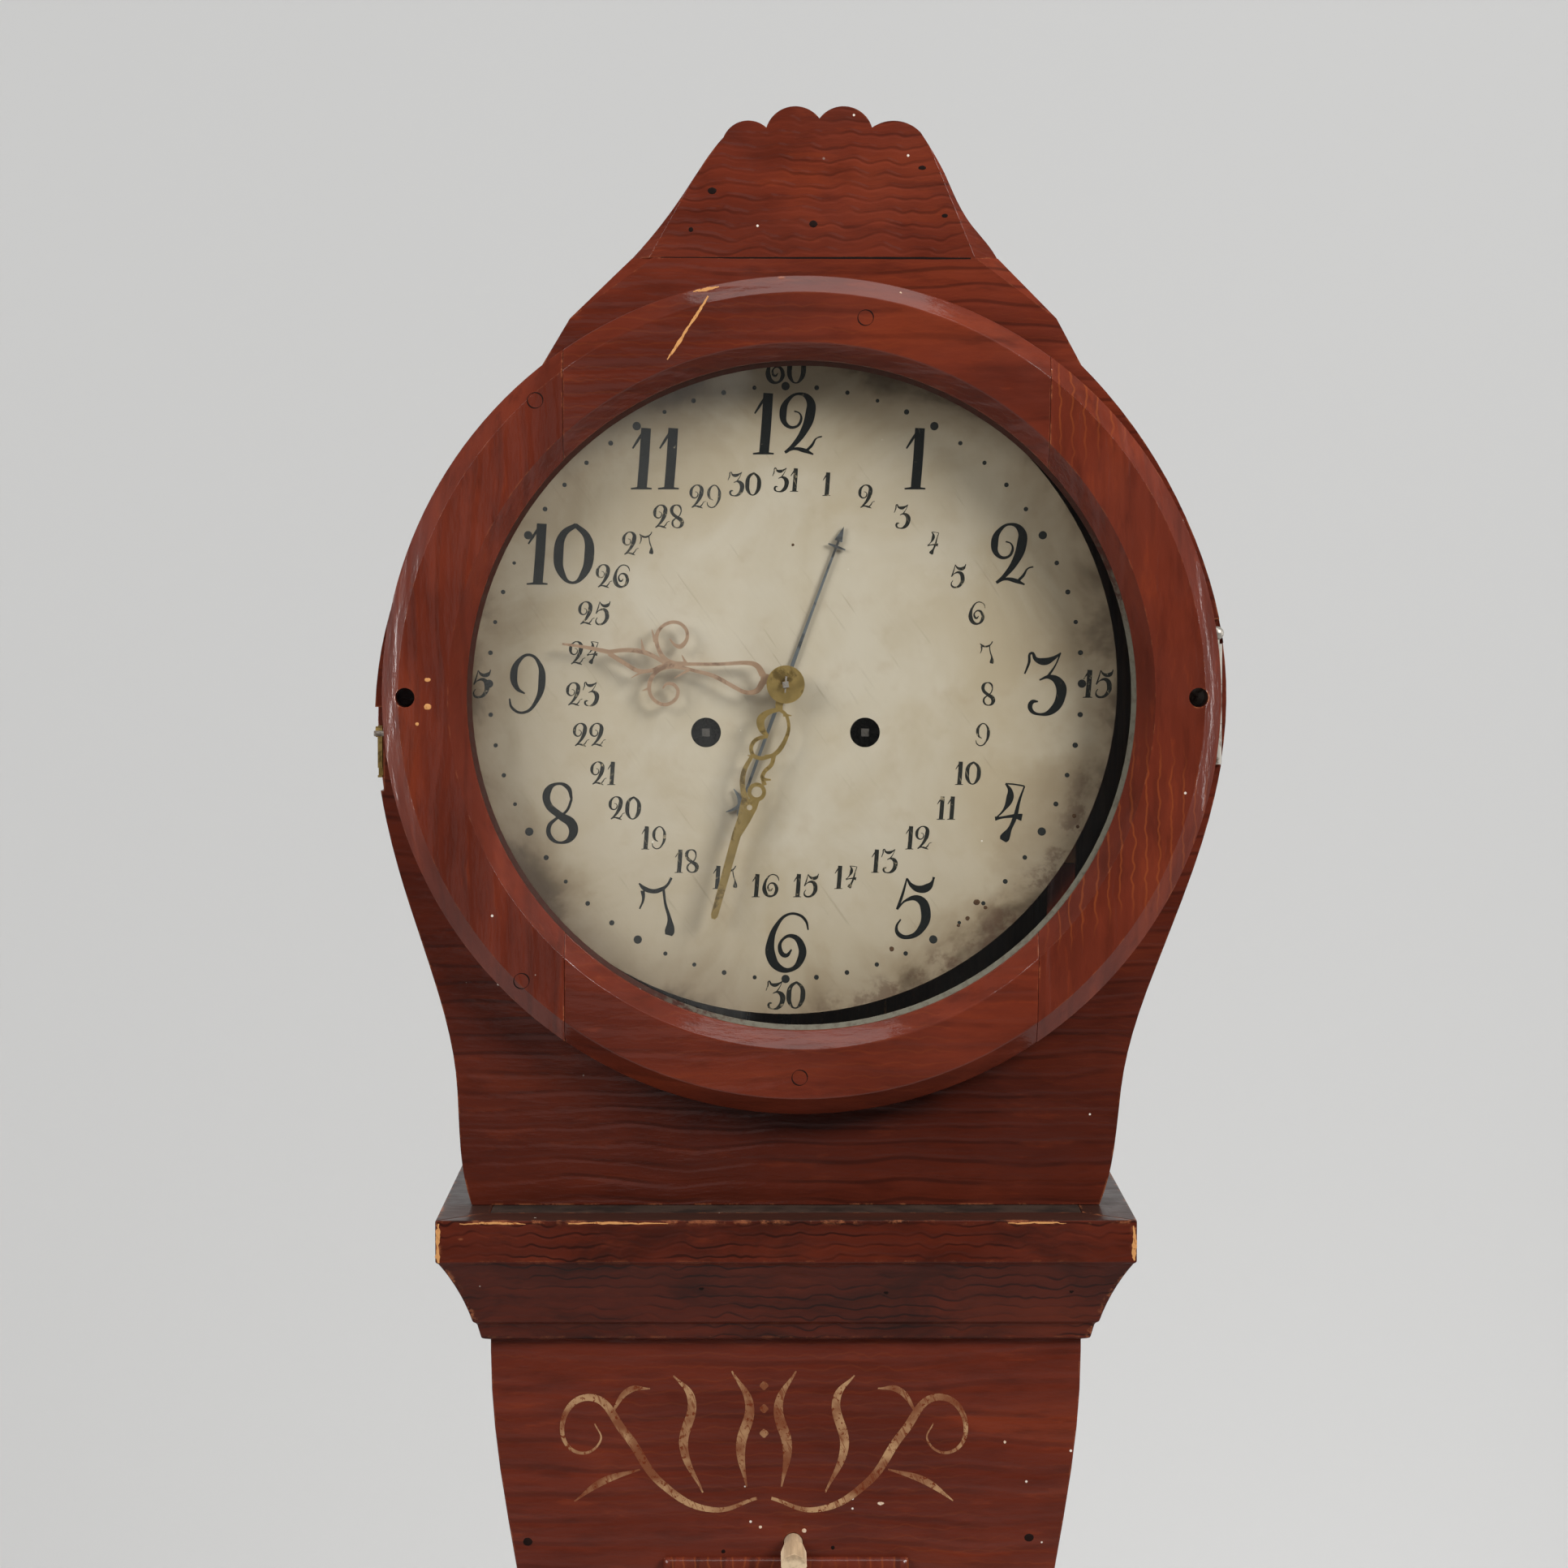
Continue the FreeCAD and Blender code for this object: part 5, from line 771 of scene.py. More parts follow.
def eased(node: str, finish: Finish, ease: float, chamfers: Sequence[Chamfer] = ()) -> None:
    """Remakes a CAD node with its sharp edges eased, as an old board's are.

    Args:
        node: The CAD node.
        finish: Its finish.
        ease: How wide the eased edge is.
        chamfers: Cuts that are made first.
    """
    shape = CASE.merged(node)
    for chamfer in chamfers:
        chamfer.cut(shape)
    edges = [e for e in shape.edges if len(e.link_faces) == 2 and e.calc_face_angle() > math.radians(EASED_DEGREES)]
    bmesh.ops.bevel(shape, geom=edges, offset=ease, affect="EDGES", segments=2, profile=0.5, material=-1,
                    clamp_overlap=True)
    piece = add_piece(f"{node}_eased", shape, finish, CASE.bodies[node], [node])
    piece.modifiers.new("even_light", "WEIGHTED_NORMAL").keep_sharp = True


@dataclass
class View:
    """The camera of the photograph. Its turns are in degrees and its lens and film in millimetres."""

    eye: Point = (-12.5 * MM, -2367.8 * MM, 1824 * MM)
    down: float = 3.30
    right: float = 0.285
    lens: float = 97.4
    film: float = 36.0

    def make(self) -> None:
        """Sets the camera up."""
        data = bpy.data.cameras.new("camera")
        data.lens = self.lens
        data.sensor_width = self.film
        camera = show("camera", data)
        camera.location = self.eye
        camera.rotation_euler = (math.radians(90 - self.down), 0.0, -math.radians(self.right))
        bpy.context.scene.camera = camera


@dataclass(frozen=True)
class Lamp:
    """A soft light: where it hangs, what it points at, its width and height, and its power in watts."""

    name: str
    spot: Point
    aim: Point
    size: tuple[float, float]
    power: float

    def make(self) -> None:
        """Hangs the lamp."""
        data = bpy.data.lights.new(self.name, "AREA")
        data.shape = "RECTANGLE"
        data.size, data.size_y = self.size
        data.energy = self.power
        lamp = show(self.name, data)
        lamp.location = self.spot
        lamp.visible_camera = False
        lamp.rotation_euler = (Vector(self.aim) - Vector(self.spot)).to_track_quat("-Z", "Y").to_euler()


LAMPS = (
    Lamp("key", (2.1, -1.8, 3.3), (0.0, 0.0, 1.6), (1.2, 1.2), 94.0),
    Lamp("fill", (-2.1, -1.9, 3.1), (0.0, 0.0, 1.5), (1.4, 1.4), 51.0),
    Lamp("overhead", (0.2, -0.7, 4.2), (0.0, 0.0, 1.5), (1.6, 1.6), 23.0),
    Lamp("wash", (0.4, 0.5, 0.25), (0.2, 1.6, 0.75), (2.4, 0.3), 9.0),
    Lamp("behind", (-2.6, 1.3, 2.4), (0.0, 0.1, 1.1), (1.0, 1.0), 22.0),
    Lamp("left_rim", (-2.3, 0.14, 1.75), (-1.0, -1.8, 1.72), (0.35, 1.3), 28.0),
    Lamp("right_rim", (2.3, 0.17, 1.75), (1.0, -1.8, 1.72), (0.35, 1.3), 16.0),
    Lamp("window", (-0.18, -2.37, 1.66), (-0.18, 0.0, 1.66), (0.3, 0.74), 0.35),
)


@dataclass
class Studio:
    """Pale floor and wall, and soft light."""

    wall_y: float = 1.6
    reach: float = 9.0
    curve: float = 0.8
    curve_steps: int = 16
    rise: float = 6.0
    paper: Colour = tone(182, 182, 181)
    paper_glow: float = 0.12
    dim_room: float = 0.02
    seen_room: Colour = tone(196, 196, 195)

    def make(self) -> None:
        """Builds the backdrop, the lights and the room round them."""
        self.backdrop()
        for lamp in LAMPS:
            lamp.make()
        self.room()
        bpy.context.scene.view_settings.view_transform = "Standard"

    def backdrop(self) -> None:
        """Bends one sheet of paper from the floor up to the wall. It is clear from behind."""
        vert, edge = bmesh.types.BMVert, bmesh.types.BMEdge
        shape = bmesh.new()
        front = shape.edges.new([shape.verts.new((side * self.reach, -self.reach, 0.0)) for side in (-1, 1)])
        run = bmesh.ops.extrude_edge_only(shape, edges=[front])["geom"]
        flat = self.wall_y - self.curve
        bmesh.ops.translate(shape, verts=picked(run, vert), vec=(0, self.reach + flat, 0))
        bend = bmesh.ops.spin(shape, geom=picked(run, vert) + picked(run, edge), cent=(0, flat, self.curve),
                              axis=(1, 0, 0), angle=math.pi / 2, steps=self.curve_steps)
        top = bmesh.ops.extrude_edge_only(shape, edges=picked(bend["geom_last"], edge))["geom"]
        bmesh.ops.translate(shape, verts=picked(top, vert), vec=(0, 0, self.rise))
        shape.normal_update()
        shape.faces.ensure_lookup_table()
        if shape.faces[0].normal.z < 0:
            bmesh.ops.reverse_faces(shape, faces=shape.faces)
        mesh = smooth_mesh("backdrop", shape)
        paper = Recipe("backdrop_paper")
        behind = paper.add("ShaderNodeNewGeometry", {}).outputs["Backfacing"]
        paper.feed(paper.skin.inputs["Alpha"], paper.sum("SUBTRACT", 1.0, behind))
        mesh.materials.append(paper.finish(self.paper, 0.9, Emission_Strength=self.paper_glow))
        backdrop = show("backdrop", mesh)

    def room(self) -> None:
        """Makes the room dim, but pale where it is seen past the backdrop."""
        world = bpy.data.worlds.new("room")
        world.use_nodes = True
        tree = world.node_tree
        dim = tree.nodes["Background"]
        dim.inputs[0].default_value = (1.0, 1.0, 1.0, 1.0)
        dim.inputs[1].default_value = self.dim_room
        seen = tree.nodes.new("ShaderNodeBackground")
        seen.inputs[0].default_value = self.seen_room
        share = tree.nodes.new("ShaderNodeMixShader")
        ray = tree.nodes.new("ShaderNodeLightPath").outputs["Is Camera Ray"]
        for place, result in enumerate((ray, dim.outputs[0], seen.outputs[0])):
            tree.links.new(result, share.inputs[place])
        tree.links.new(share.outputs[0], tree.nodes["World Output"].inputs[0])
        bpy.context.scene.world = world


class Weight(Enum):
    """How heavy a pen stroke is, as a share of the figure's height."""

    HAIR = 0.013
    FINE = 0.022
    SOFT = 0.036
    FULL = 0.06
    BOLD = 0.08


HAIR, FINE, SOFT, FULL, BOLD = Weight
PenPoint = tuple[float, float, Weight]


@dataclass(frozen=True)
class Figure:
    """One written figure: how wide it is and its pen strokes, as shares of its height."""

    wide: float
    strokes: tuple[tuple[PenPoint, ...], ...]


FIGURE_SHARES: dict[str, Figure] = {
    "0": Figure(0.62, (
        ((0.33, 0.97, SOFT), (0.52, 0.78, FULL), (0.56, 0.50, BOLD), (0.47, 0.18, FULL), (0.28, 0.03, FINE),
         (0.10, 0.20, FULL), (0.06, 0.50, BOLD), (0.14, 0.82, FULL), (0.35, 0.97, SOFT)),
    )),
    "1": Figure(0.32, (
        ((0.23, 0.99, BOLD), (0.20, 0.50, BOLD), (0.16, 0.02, BOLD)),
        ((0.19, 0.95, HAIR), (0.10, 0.80, FINE), (0.01, 0.66, HAIR)),
        ((-0.02, 0.01, HAIR), (0.15, 0.02, FINE), (0.32, 0.01, HAIR)),
    )),
    "2": Figure(0.58, (
        ((0.21, 0.70, HAIR), (0.30, 0.66, HAIR), (0.32, 0.55, FINE), (0.22, 0.44, FINE), (0.08, 0.48, SOFT),
         (0.03, 0.68, FULL), (0.11, 0.88, SOFT), (0.29, 0.98, FINE), (0.46, 0.88, FULL), (0.47, 0.65, BOLD),
         (0.37, 0.38, FULL), (0.20, 0.15, SOFT), (0.06, 0.03, FINE)),
        ((0.06, 0.03, FINE), (0.20, 0.09, FINE), (0.38, 0.06, SOFT), (0.52, 0.00, HAIR)),
        ((0.42, 0.07, FINE), (0.50, 0.15, FINE), (0.57, 0.26, HAIR), (0.66, 0.29, HAIR)),
    )),
    "3": Figure(0.62, (
        ((-0.02, 0.66, HAIR), (0.05, 0.84, FINE), (0.09, 1.0, FINE), (0.16, 0.90, SOFT), (0.30, 0.86, FULL),
         (0.44, 0.91, SOFT), (0.57, 1.0, HAIR)),
        ((0.56, 0.99, HAIR), (0.48, 0.80, HAIR), (0.36, 0.62, FINE)),
        ((0.22, 0.56, HAIR), (0.38, 0.61, SOFT), (0.55, 0.50, BOLD), (0.57, 0.30, BOLD), (0.44, 0.07, FULL),
         (0.24, 0.0, FINE), (0.08, 0.08, SOFT), (0.10, 0.20, SOFT), (0.20, 0.21, HAIR)),
    )),
    "4": Figure(0.54, (
        ((0.20, 0.98, HAIR), (0.27, 0.88, SOFT), (0.27, 0.74, FULL), (0.18, 0.56, FINE), (0.04, 0.41, HAIR)),
        ((0.20, 0.98, HAIR), (0.34, 0.97, HAIR), (0.51, 0.94, HAIR)),
        ((0.51, 0.94, HAIR), (0.43, 0.72, FINE), (0.35, 0.42, SOFT), (0.27, 0.24, SOFT), (0.19, 0.10, BOLD),
         (0.16, 0.05, FULL)),
        ((0.03, 0.41, SOFT), (0.10, 0.42, FINE), (0.22, 0.44, FINE), (0.36, 0.45, SOFT), (0.47, 0.43, FULL)),
    )),
    "5": Figure(0.62, (
        ((0.18, 0.98, HAIR), (0.26, 0.86, SOFT), (0.40, 0.80, FULL), (0.53, 0.84, FULL), (0.60, 0.93, FINE),
         (0.62, 1.0, FINE)),
        ((0.18, 0.98, HAIR), (0.11, 0.72, FINE), (0.02, 0.47, FINE)),
        ((0.02, 0.47, HAIR), (0.17, 0.62, FINE), (0.38, 0.64, FULL), (0.49, 0.42, BOLD), (0.42, 0.16, FULL),
         (0.22, 0.02, SOFT), (0.05, 0.06, SOFT), (0.01, 0.18, FINE), (0.08, 0.31, HAIR)),
    )),
    "6": Figure(0.66, (
        ((0.70, 0.70, HAIR), (0.66, 0.85, FINE), (0.54, 0.95, FINE), (0.36, 0.95, FINE), (0.19, 0.78, SOFT),
         (0.09, 0.52, FULL), (0.09, 0.28, BOLD), (0.22, 0.08, FULL), (0.42, 0.05, SOFT), (0.58, 0.22, FULL),
         (0.59, 0.44, FULL), (0.44, 0.60, SOFT), (0.28, 0.54, FINE), (0.24, 0.38, SOFT), (0.33, 0.28, SOFT),
         (0.43, 0.38, HAIR)),
    )),
    "7": Figure(0.56, (
        ((0.01, 0.48, HAIR), (0.07, 0.64, FINE), (0.06, 0.78, SOFT)),
        ((0.0, 0.90, HAIR), (0.08, 0.82, SOFT), (0.22, 0.77, SOFT), (0.34, 0.79, SOFT), (0.46, 0.87, FINE),
         (0.53, 0.99, FINE)),
        ((0.40, 0.80, FINE), (0.43, 0.56, FINE), (0.50, 0.30, SOFT), (0.50, 0.12, BOLD), (0.48, 0.05, FULL)),
    )),
    "8": Figure(0.58, (
        ((0.46, 0.73, FINE), (0.40, 0.92, SOFT), (0.22, 0.98, FINE), (0.07, 0.86, FULL), (0.07, 0.66, FULL),
         (0.26, 0.47, FULL), (0.47, 0.31, BOLD), (0.46, 0.12, FULL), (0.30, 0.02, FINE), (0.12, 0.10, SOFT),
         (0.09, 0.28, SOFT), (0.22, 0.42, FINE), (0.38, 0.54, FINE), (0.46, 0.73, FINE)),
    )),
    "9": Figure(0.56, (
        ((0.26, 0.34, HAIR), (0.14, 0.42, SOFT), (0.08, 0.64, FULL), (0.17, 0.88, SOFT), (0.34, 0.97, FINE),
         (0.50, 0.82, SOFT), (0.54, 0.56, FULL), (0.46, 0.24, SOFT), (0.24, 0.03, FINE), (0.05, 0.11, FINE),
         (0.01, 0.26, HAIR)),
    )),
}


def brush(strokes: Iterable[Stroke], thick: float, steps: int) -> bpy.types.Mesh:
    """Draws brush strokes as thin raised skins in the plane of y = 0.

    Args:
        strokes: Each stroke's points, as x, z and half width.
        thick: The skin's thickness as a share of a stroke's width.
        steps: Steps between two points.

    Returns:
        The mesh of all the strokes.
    """
    line = bpy.data.curves.new("stroke", "CURVE")
    line.dimensions = "3D"
    line.bevel_depth = 1.0
    line.bevel_resolution = 1
    line.resolution_u = steps
    line.use_fill_caps = True
    for stroke in strokes:
        run = line.splines.new("BEZIER")
        run.radius_interpolation = "CARDINAL"
        run.bezier_points.add(len(stroke) - 1)
        for knot, (x, z, half) in zip(run.bezier_points, stroke):
            knot.co = (x, 0.0, z)
            knot.radius = half
            knot.handle_left_type = knot.handle_right_type = "AUTO"
    holder = show("stroke", line)
    bpy.context.view_layer.update()
    mesh = bpy.data.meshes.new_from_object(holder.evaluated_get(bpy.context.evaluated_depsgraph_get()))
    mesh.transform(Matrix.Diagonal((1.0, thick, 1.0, 1.0)))
    bpy.data.objects.remove(holder)
    bpy.data.curves.remove(line)
    return mesh


@dataclass
class DialPrint:
    """Everything that is written on the dial."""

    hour_height: float = 34.0 * MM
    hour_reach: float = 143.5 * MM
    date_height: float = 13.0 * MM
    date_reach: float = 112.5 * MM
    quarter_height: float = 15.5 * MM
    quarter_reach: float = 173.0 * MM
    dot_reach: float = 164.0 * MM
    dot_radius: float = 1.35 * MM
    dot_unevenness: float = 0.4
    mark_radius: float = 2.4 * MM
    thick: float = 0.03
    hour_ink: float = 1.15
    date_ink: float = 1.3
    days: int = 31
    gap_share: float = 0.12
    figures: dict[str, bpy.types.Mesh] = field(default_factory=dict)

    def cut_figures(self, ink: float) -> None:
        """Draws each figure once, one unit high.

        Args:
            ink: How much heavier the pen is than the plain weights.
        """
        for sign, figure in FIGURE_SHARES.items():
            strokes = [[(x, z, weight.value * ink) for x, z, weight in stroke] for stroke in figure.strokes]
            self.figures[sign] = brush(strokes, self.thick, 5)

    def write(self, shape: Shape, numbers: Iterable[int], last: int, reach: float, height: float) -> None:
        """Writes upright numbers round the dial.

        Args:
            shape: What they are added to.
            numbers: The numbers.
            last: The number that would stand at the top.
            reach: How far their middles are from the dial's.
            height: How tall they are.
        """
        middle = dial_centre()
        for number in numbers:
            text, turn = str(number), math.tau * number / last
            wide = sum(FIGURE_SHARES[sign].wide for sign in text) + self.gap_share * (len(text) - 1)
            x = middle[0] + reach * math.sin(turn) - wide * height / 2
            z = middle[2] + reach * math.cos(turn) - height / 2
            for sign in text:
                count = len(shape.verts)
                shape.from_mesh(self.figures[sign])
                shape.verts.ensure_lookup_table()
                spot = Matrix.Translation((x, middle[1], z)) @ Matrix.Diagonal((height, height, height, 1.0))
                bmesh.ops.transform(shape, matrix=spot, verts=shape.verts[count:])
                x += (FIGURE_SHARES[sign].wide + self.gap_share) * height

    def dots(self) -> Shape:
        """The ring of minute dots, every fifth larger.

        Returns:
            Their shape.
        """
        shape = bmesh.new()
        middle = Vector(dial_centre())
        for minute in range(60):
            turn = math.tau * minute / 60
            spot = middle + Vector((math.sin(turn), 0, math.cos(turn))) * self.dot_reach
            uneven = 1 + self.dot_unevenness * noise.noise(spot * 37)
            facing = Matrix.Translation(spot) @ Matrix.Diagonal((1, self.thick, 1, 1)) @ Matrix.Rotation(turn, 4, "Y")
            bmesh.ops.create_uvsphere(shape, u_segments=14, v_segments=6, matrix=facing,
                                      radius=self.dot_radius * uneven if minute % 5 else self.mark_radius)
        return shape

    def make(self) -> None:
        """Writes the hours, the dates, the quarters and the dots."""
        hours, dates = bmesh.new(), bmesh.new()
        self.cut_figures(self.hour_ink)
        self.write(hours, range(1, 13), 12, self.hour_reach, self.hour_height)
        self.cut_figures(self.date_ink)
        self.write(dates, (15, 30, 45, 60), 60, self.quarter_reach, self.quarter_height)
        self.write(dates, range(1, self.days + 1), self.days, self.date_reach, self.date_height)
        add_piece("dial_hour_figures", hours, HOUR_INK, "case")
        add_piece("dial_date_figures", dates, DATE_INK, "case")
        add_piece("dial_minute_dots", self.dots(), DOT_INK, "case")


@dataclass
class TrunkOrnament:
    """A sprig of leaves brushed thinly on the trunk, the same on both sides of its middle."""

    tall: float = 80.0 * MM
    low: float = 1291.0 * MM
    middle: float = -12.0 * MM
    lift: float = 0.01 * MM
    thin: float = 0.62
    skin: float = 0.014

    branch_shares = (
        ((0.05, 0.10, 0.020), (0.35, 0.02, 0.035), (0.70, 0.20, 0.050), (0.95, 0.55, 0.055),
         (1.20, 0.80, 0.045), (1.38, 0.62, 0.030), (1.28, 0.42, 0.020), (1.12, 0.50, 0.012),
         (1.16, 0.62, 0.008)),
        ((0.12, 0.18, 0.010), (0.16, 0.45, 0.060), (0.10, 0.75, 0.055), (0.22, 0.98, 0.010)),
        ((0.42, 0.14, 0.010), (0.55, 0.45, 0.055), (0.50, 0.80, 0.050), (0.62, 0.95, 0.008)),
        ((0.85, 0.30, 0.010), (1.10, 0.22, 0.045), (1.30, 0.08, 0.008)),
        ((1.05, 0.68, 0.010), (0.92, 0.85, 0.040), (0.78, 0.86, 0.008)),
    )
    bud_shares = (0.55, 0.72, 0.88)
    bud_size_share = 0.03

    def make(self) -> None:
        """Brushes the sprig on the trunk's face."""
        strokes = [
            [(self.middle + side * x * self.tall, self.low + z * self.tall, half * self.thin * self.tall)
             for x, z, half in stroke]
            for side in (-1, 1) for stroke in self.branch_shares
        ]
        size = self.bud_size_share * self.tall
        for rise in self.bud_shares:
            z = self.low + rise * self.tall
            strokes.append([(self.middle, z + step * size, size if step == 0 else size / 4) for step in (-1, 0, 1)])
        shape = bmesh.new()
        shape.from_mesh(brush(strokes, self.skin, 10))
        bmesh.ops.translate(shape, verts=shape.verts, vec=(0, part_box("trunk_front")[0].y - self.lift, 0))
        add_piece("trunk_sprig", shape, CREAM, "case")


@dataclass(frozen=True)
class Mark:
    """A small mark of age on a board, in millimetres: where it is, how big and how much longer along the grain."""

    x: float
    z: float
    size: float
    long: float = 1.0


@dataclass(frozen=True)
class Marks:
    """Marks of one kind on one face, as low domes with an uneven edge."""

    name: str
    node: str
    finish: Finish
    marks: tuple[Mark, ...]
    slot: str = RED_SLOT
    flat: float = 0.1
    uneven: float = 0.25 * MM
    grain: float = 900.0

    def make(self) -> None:
        """Lays the marks on the face."""
        board, shape = bmesh.new(), bmesh.new()
        board.from_mesh(frame["nodes"][self.node].data)
        face = BVHTree.FromBMesh(board)
        board.free()
        for mark in self.marks:
            touch = face.ray_cast(Vector((mark.x * MM, -1.0, mark.z * MM)), Vector((0.0, 1.0, 0.0)))[0]
            if touch is None:
                raise ValueError(f"{self.name}: {mark} misses {self.node}")
            spot = Matrix.Translation(touch) @ Matrix.Diagonal((mark.long, self.flat, 1.0, 1.0))
            bmesh.ops.create_uvsphere(shape, u_segments=12, v_segments=6, radius=mark.size * MM, matrix=spot)
        for vert in shape.verts:
            vert.co += self.uneven * noise.noise_vector(vert.co * self.grain) * Vector((1, 0, 1))
        add_piece(self.name, shape, self.finish, CASE.bodies[self.node])


MARKS = (
    Marks("crest_nail_holes", "crest_board", NAIL_SHADOW, (
        Mark(-40.1, 2013.5, 1.9, 1.3), Mark(15.0, 1995.6, 1.9, 1.2), Mark(-51.7, 1992.5, 1.3),
        Mark(74.3, 2026.0, 1.2, 1.8), Mark(86.7, 2000.0, 1.1, 1.6),
    )),
    Marks("trunk_nail_holes", "trunk_front", NAIL_SHADOW, (
        Mark(-34.4, 1269.5, 1.1), Mark(25.7, 1271.5, 1.1), Mark(-141.6, 1275.0, 2.2, 1.2),
        Mark(133.4, 1277.0, 2.2, 1.2),
    )),
    Marks("cornice_nail_holes", "cornice_front", NAIL_SHADOW, (
        Mark(-46.0, 1418.5, 1.3), Mark(54.3, 1416.0, 1.3), Mark(155.0, 1416.5, 1.3),
    )),
    Marks("trunk_chips", "trunk_front", PALE_CHIP, (
        Mark(-14.0, 1283.0, 0.9), Mark(10.0, 1281.0, 1.2), Mark(52.0, 1296.0, 0.9, 2.0), Mark(120.0, 1330.0, 0.8),
    )),
    Marks("ring_chips", "bezel_left_board", BARE_SCRATCH, (
        Mark(-194.3, 1748.0, 1.1, 1.6), Mark(-194.3, 1733.3, 1.7, 1.2), Mark(-200.0, 1724.0, 1.0),
    )),
    Marks("ring_joint_chips", "bezel_top_board", PALE_CHIP, (Mark(62.0, 1957.0, 0.7),)),
    Marks("dial_stains", "dial_plate", STAIN, (
        Mark(106.0, 1623.0, 1.6, 1.2), Mark(111.0, 1620.0, 1.1), Mark(101.0, 1614.0, 1.3), Mark(96.0, 1610.0, 0.9),
        Mark(59.0, 1597.0, 1.4), Mark(4.0, 1821.0, 0.8), Mark(160.0, 1671.0, 1.2), Mark(162.0, 1665.0, 1.0),
    ), "dial_paint"),
)


@dataclass(frozen=True)
class BareStrokes:
    """Lines laid on one face, in millimetres: where the paint is rubbed off, and, with a dark finish, painted shadow
    lines.
    """

    name: str
    node: str
    lines: tuple[Stroke, ...]
    rough: float = 0.5
    finish: Finish = BARE_SCRATCH
    grain: float = 500.0

    def make(self) -> None:
        """Lays the bare lines on the face."""
        strokes = [[(x * MM, z * MM, half * MM) for x, z, half in line] for line in self.lines]
        shape = bmesh.new()
        shape.from_mesh(brush(strokes, 0.1, 8))
        for vert in shape.verts:
            vert.co += self.rough * MM * noise.noise_vector(vert.co * self.grain) * Vector((1, 0, 1))
        bmesh.ops.translate(shape, verts=shape.verts, vec=(0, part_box(self.node)[0].y, 0))
        add_piece(self.name, shape, self.finish, CASE.bodies[self.node])


BARE_LINES = (
    BareStrokes("ring_scratch", "bezel_top_board", (
        ((-42.0, 1955.0, 0.5), (-47.5, 1946.0, 0.9), (-53.0, 1938.0, 0.7), (-58.5, 1929.0, 1.0), (-64.0, 1921.0, 0.3)),
        ((-50.0, 1957.5, 0.3), (-44.0, 1958.5, 1.0), (-36.0, 1960.0, 0.4)),
    )),
    # A painted shadow line in the groove of the crest's seam.
    BareStrokes("crest_seam_shadow", "crest_board", (
        ((-68.0, 1977.5, 0.25), (-30.0, 1977.3, 0.45), (20.0, 1977.2, 0.65), (70.0, 1977.1, 0.75),
         (101.0, 1976.9, 0.5)),
    ), 0.15, NAIL_SHADOW),
    BareStrokes("cornice_corner_wear", "cornice_front", (
        ((-187.6, 1455.0, 0.5), (-188.0, 1449.0, 1.3), (-188.2, 1442.0, 0.6), (-187.9, 1437.0, 1.5),
         (-187.6, 1434.5, 0.5)),
        ((187.6, 1454.0, 0.4), (188.1, 1447.0, 1.1), (188.0, 1440.0, 1.4), (187.8, 1435.0, 0.5)),
        ((-176.0, 1455.2, 0.2), (-160.0, 1455.6, 0.8), (-141.0, 1455.1, 0.3)),
        ((-118.0, 1455.4, 0.3), (-96.0, 1455.7, 0.6), (-64.0, 1455.3, 0.2)),
        ((120.0, 1455.3, 0.2), (139.0, 1455.6, 0.6), (151.0, 1455.2, 0.2)),
    ), 0.8),
)


@dataclass
class PlugRings:
    """The faint rings round the wooden plugs that pin the ring's joints. The plugs' places are in millimetres."""

    plugs: tuple[tuple[float, float], ...] = ((43.0, 1943.5), (7.5, 1531.0), (-135.5, 1899.0), (-144.0, 1584.0))
    radius: float = 4.2 * MM
    line: float = 0.28 * MM
    steps: int = 12

    def make(self) -> None:
        """Draws each ring on its board's face."""
        turns = [math.tau * step / self.steps for step in range(self.steps + 1)]
        strokes = [
            [(x * MM + self.radius * math.sin(turn), z * MM + self.radius * math.cos(turn),
              self.line * (1 + 0.5 * math.sin(2 * turn))) for turn in turns]
            for x, z in self.plugs
        ]
        shape = bmesh.new()
        shape.from_mesh(brush(strokes, 0.3, 4))
        bmesh.ops.translate(shape, verts=shape.verts, vec=(0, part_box("bezel_top_board")[0].y, 0))
        add_piece("ring_plugs", shape, NAIL_SHADOW, "bezel")


@dataclass
class ArborPin:
    """The arbor's square end and the taper pin that holds the hands on it."""

    square: float = 1.9 * MM
    square_shares = (1.3, 1.2)
    square_degrees: float = 52
    stand: float = 2.4 * MM
    deep: float = 3.84 * MM
    pin: float = 0.55 * MM
    pin_shares = (0.8, 1.2)
    pin_degrees: float = 4
    pin_long: float = 9.0 * MM
    pin_reach_share: float = 0.55

    def make(self) -> None:
        """Makes both in front of the minute hand."""
        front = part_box("minute_hand")[0].y
        x, _, z = dial_centre()
        shape = bmesh.new()
        spot = Matrix.Translation((x, front - self.stand / 2, z)) @ Matrix.Rotation(math.pi / 2, 4, "X")
        turn = Matrix.Rotation(math.radians(self.square_degrees), 4, "Z")
        bmesh.ops.create_cone(shape, cap_ends=True, segments=4, radius1=self.square * self.square_shares[0],
                              radius2=self.square * self.square_shares[1], depth=self.deep, matrix=spot @ turn)
        spot = Matrix.Translation((x, front - self.stand * self.pin_reach_share, z))
        turn = Matrix.Rotation(math.radians(self.pin_degrees), 4, "Y")
        bmesh.ops.create_cone(shape, cap_ends=True, segments=10, radius1=self.pin * self.pin_shares[0],
                              radius2=self.pin * self.pin_shares[1], depth=self.pin_long, matrix=spot @ turn)
        add_piece("arbor_pin", shape, STEEL, "centre_arbor")


PLAIN = PaintedPine(glints=0.2)
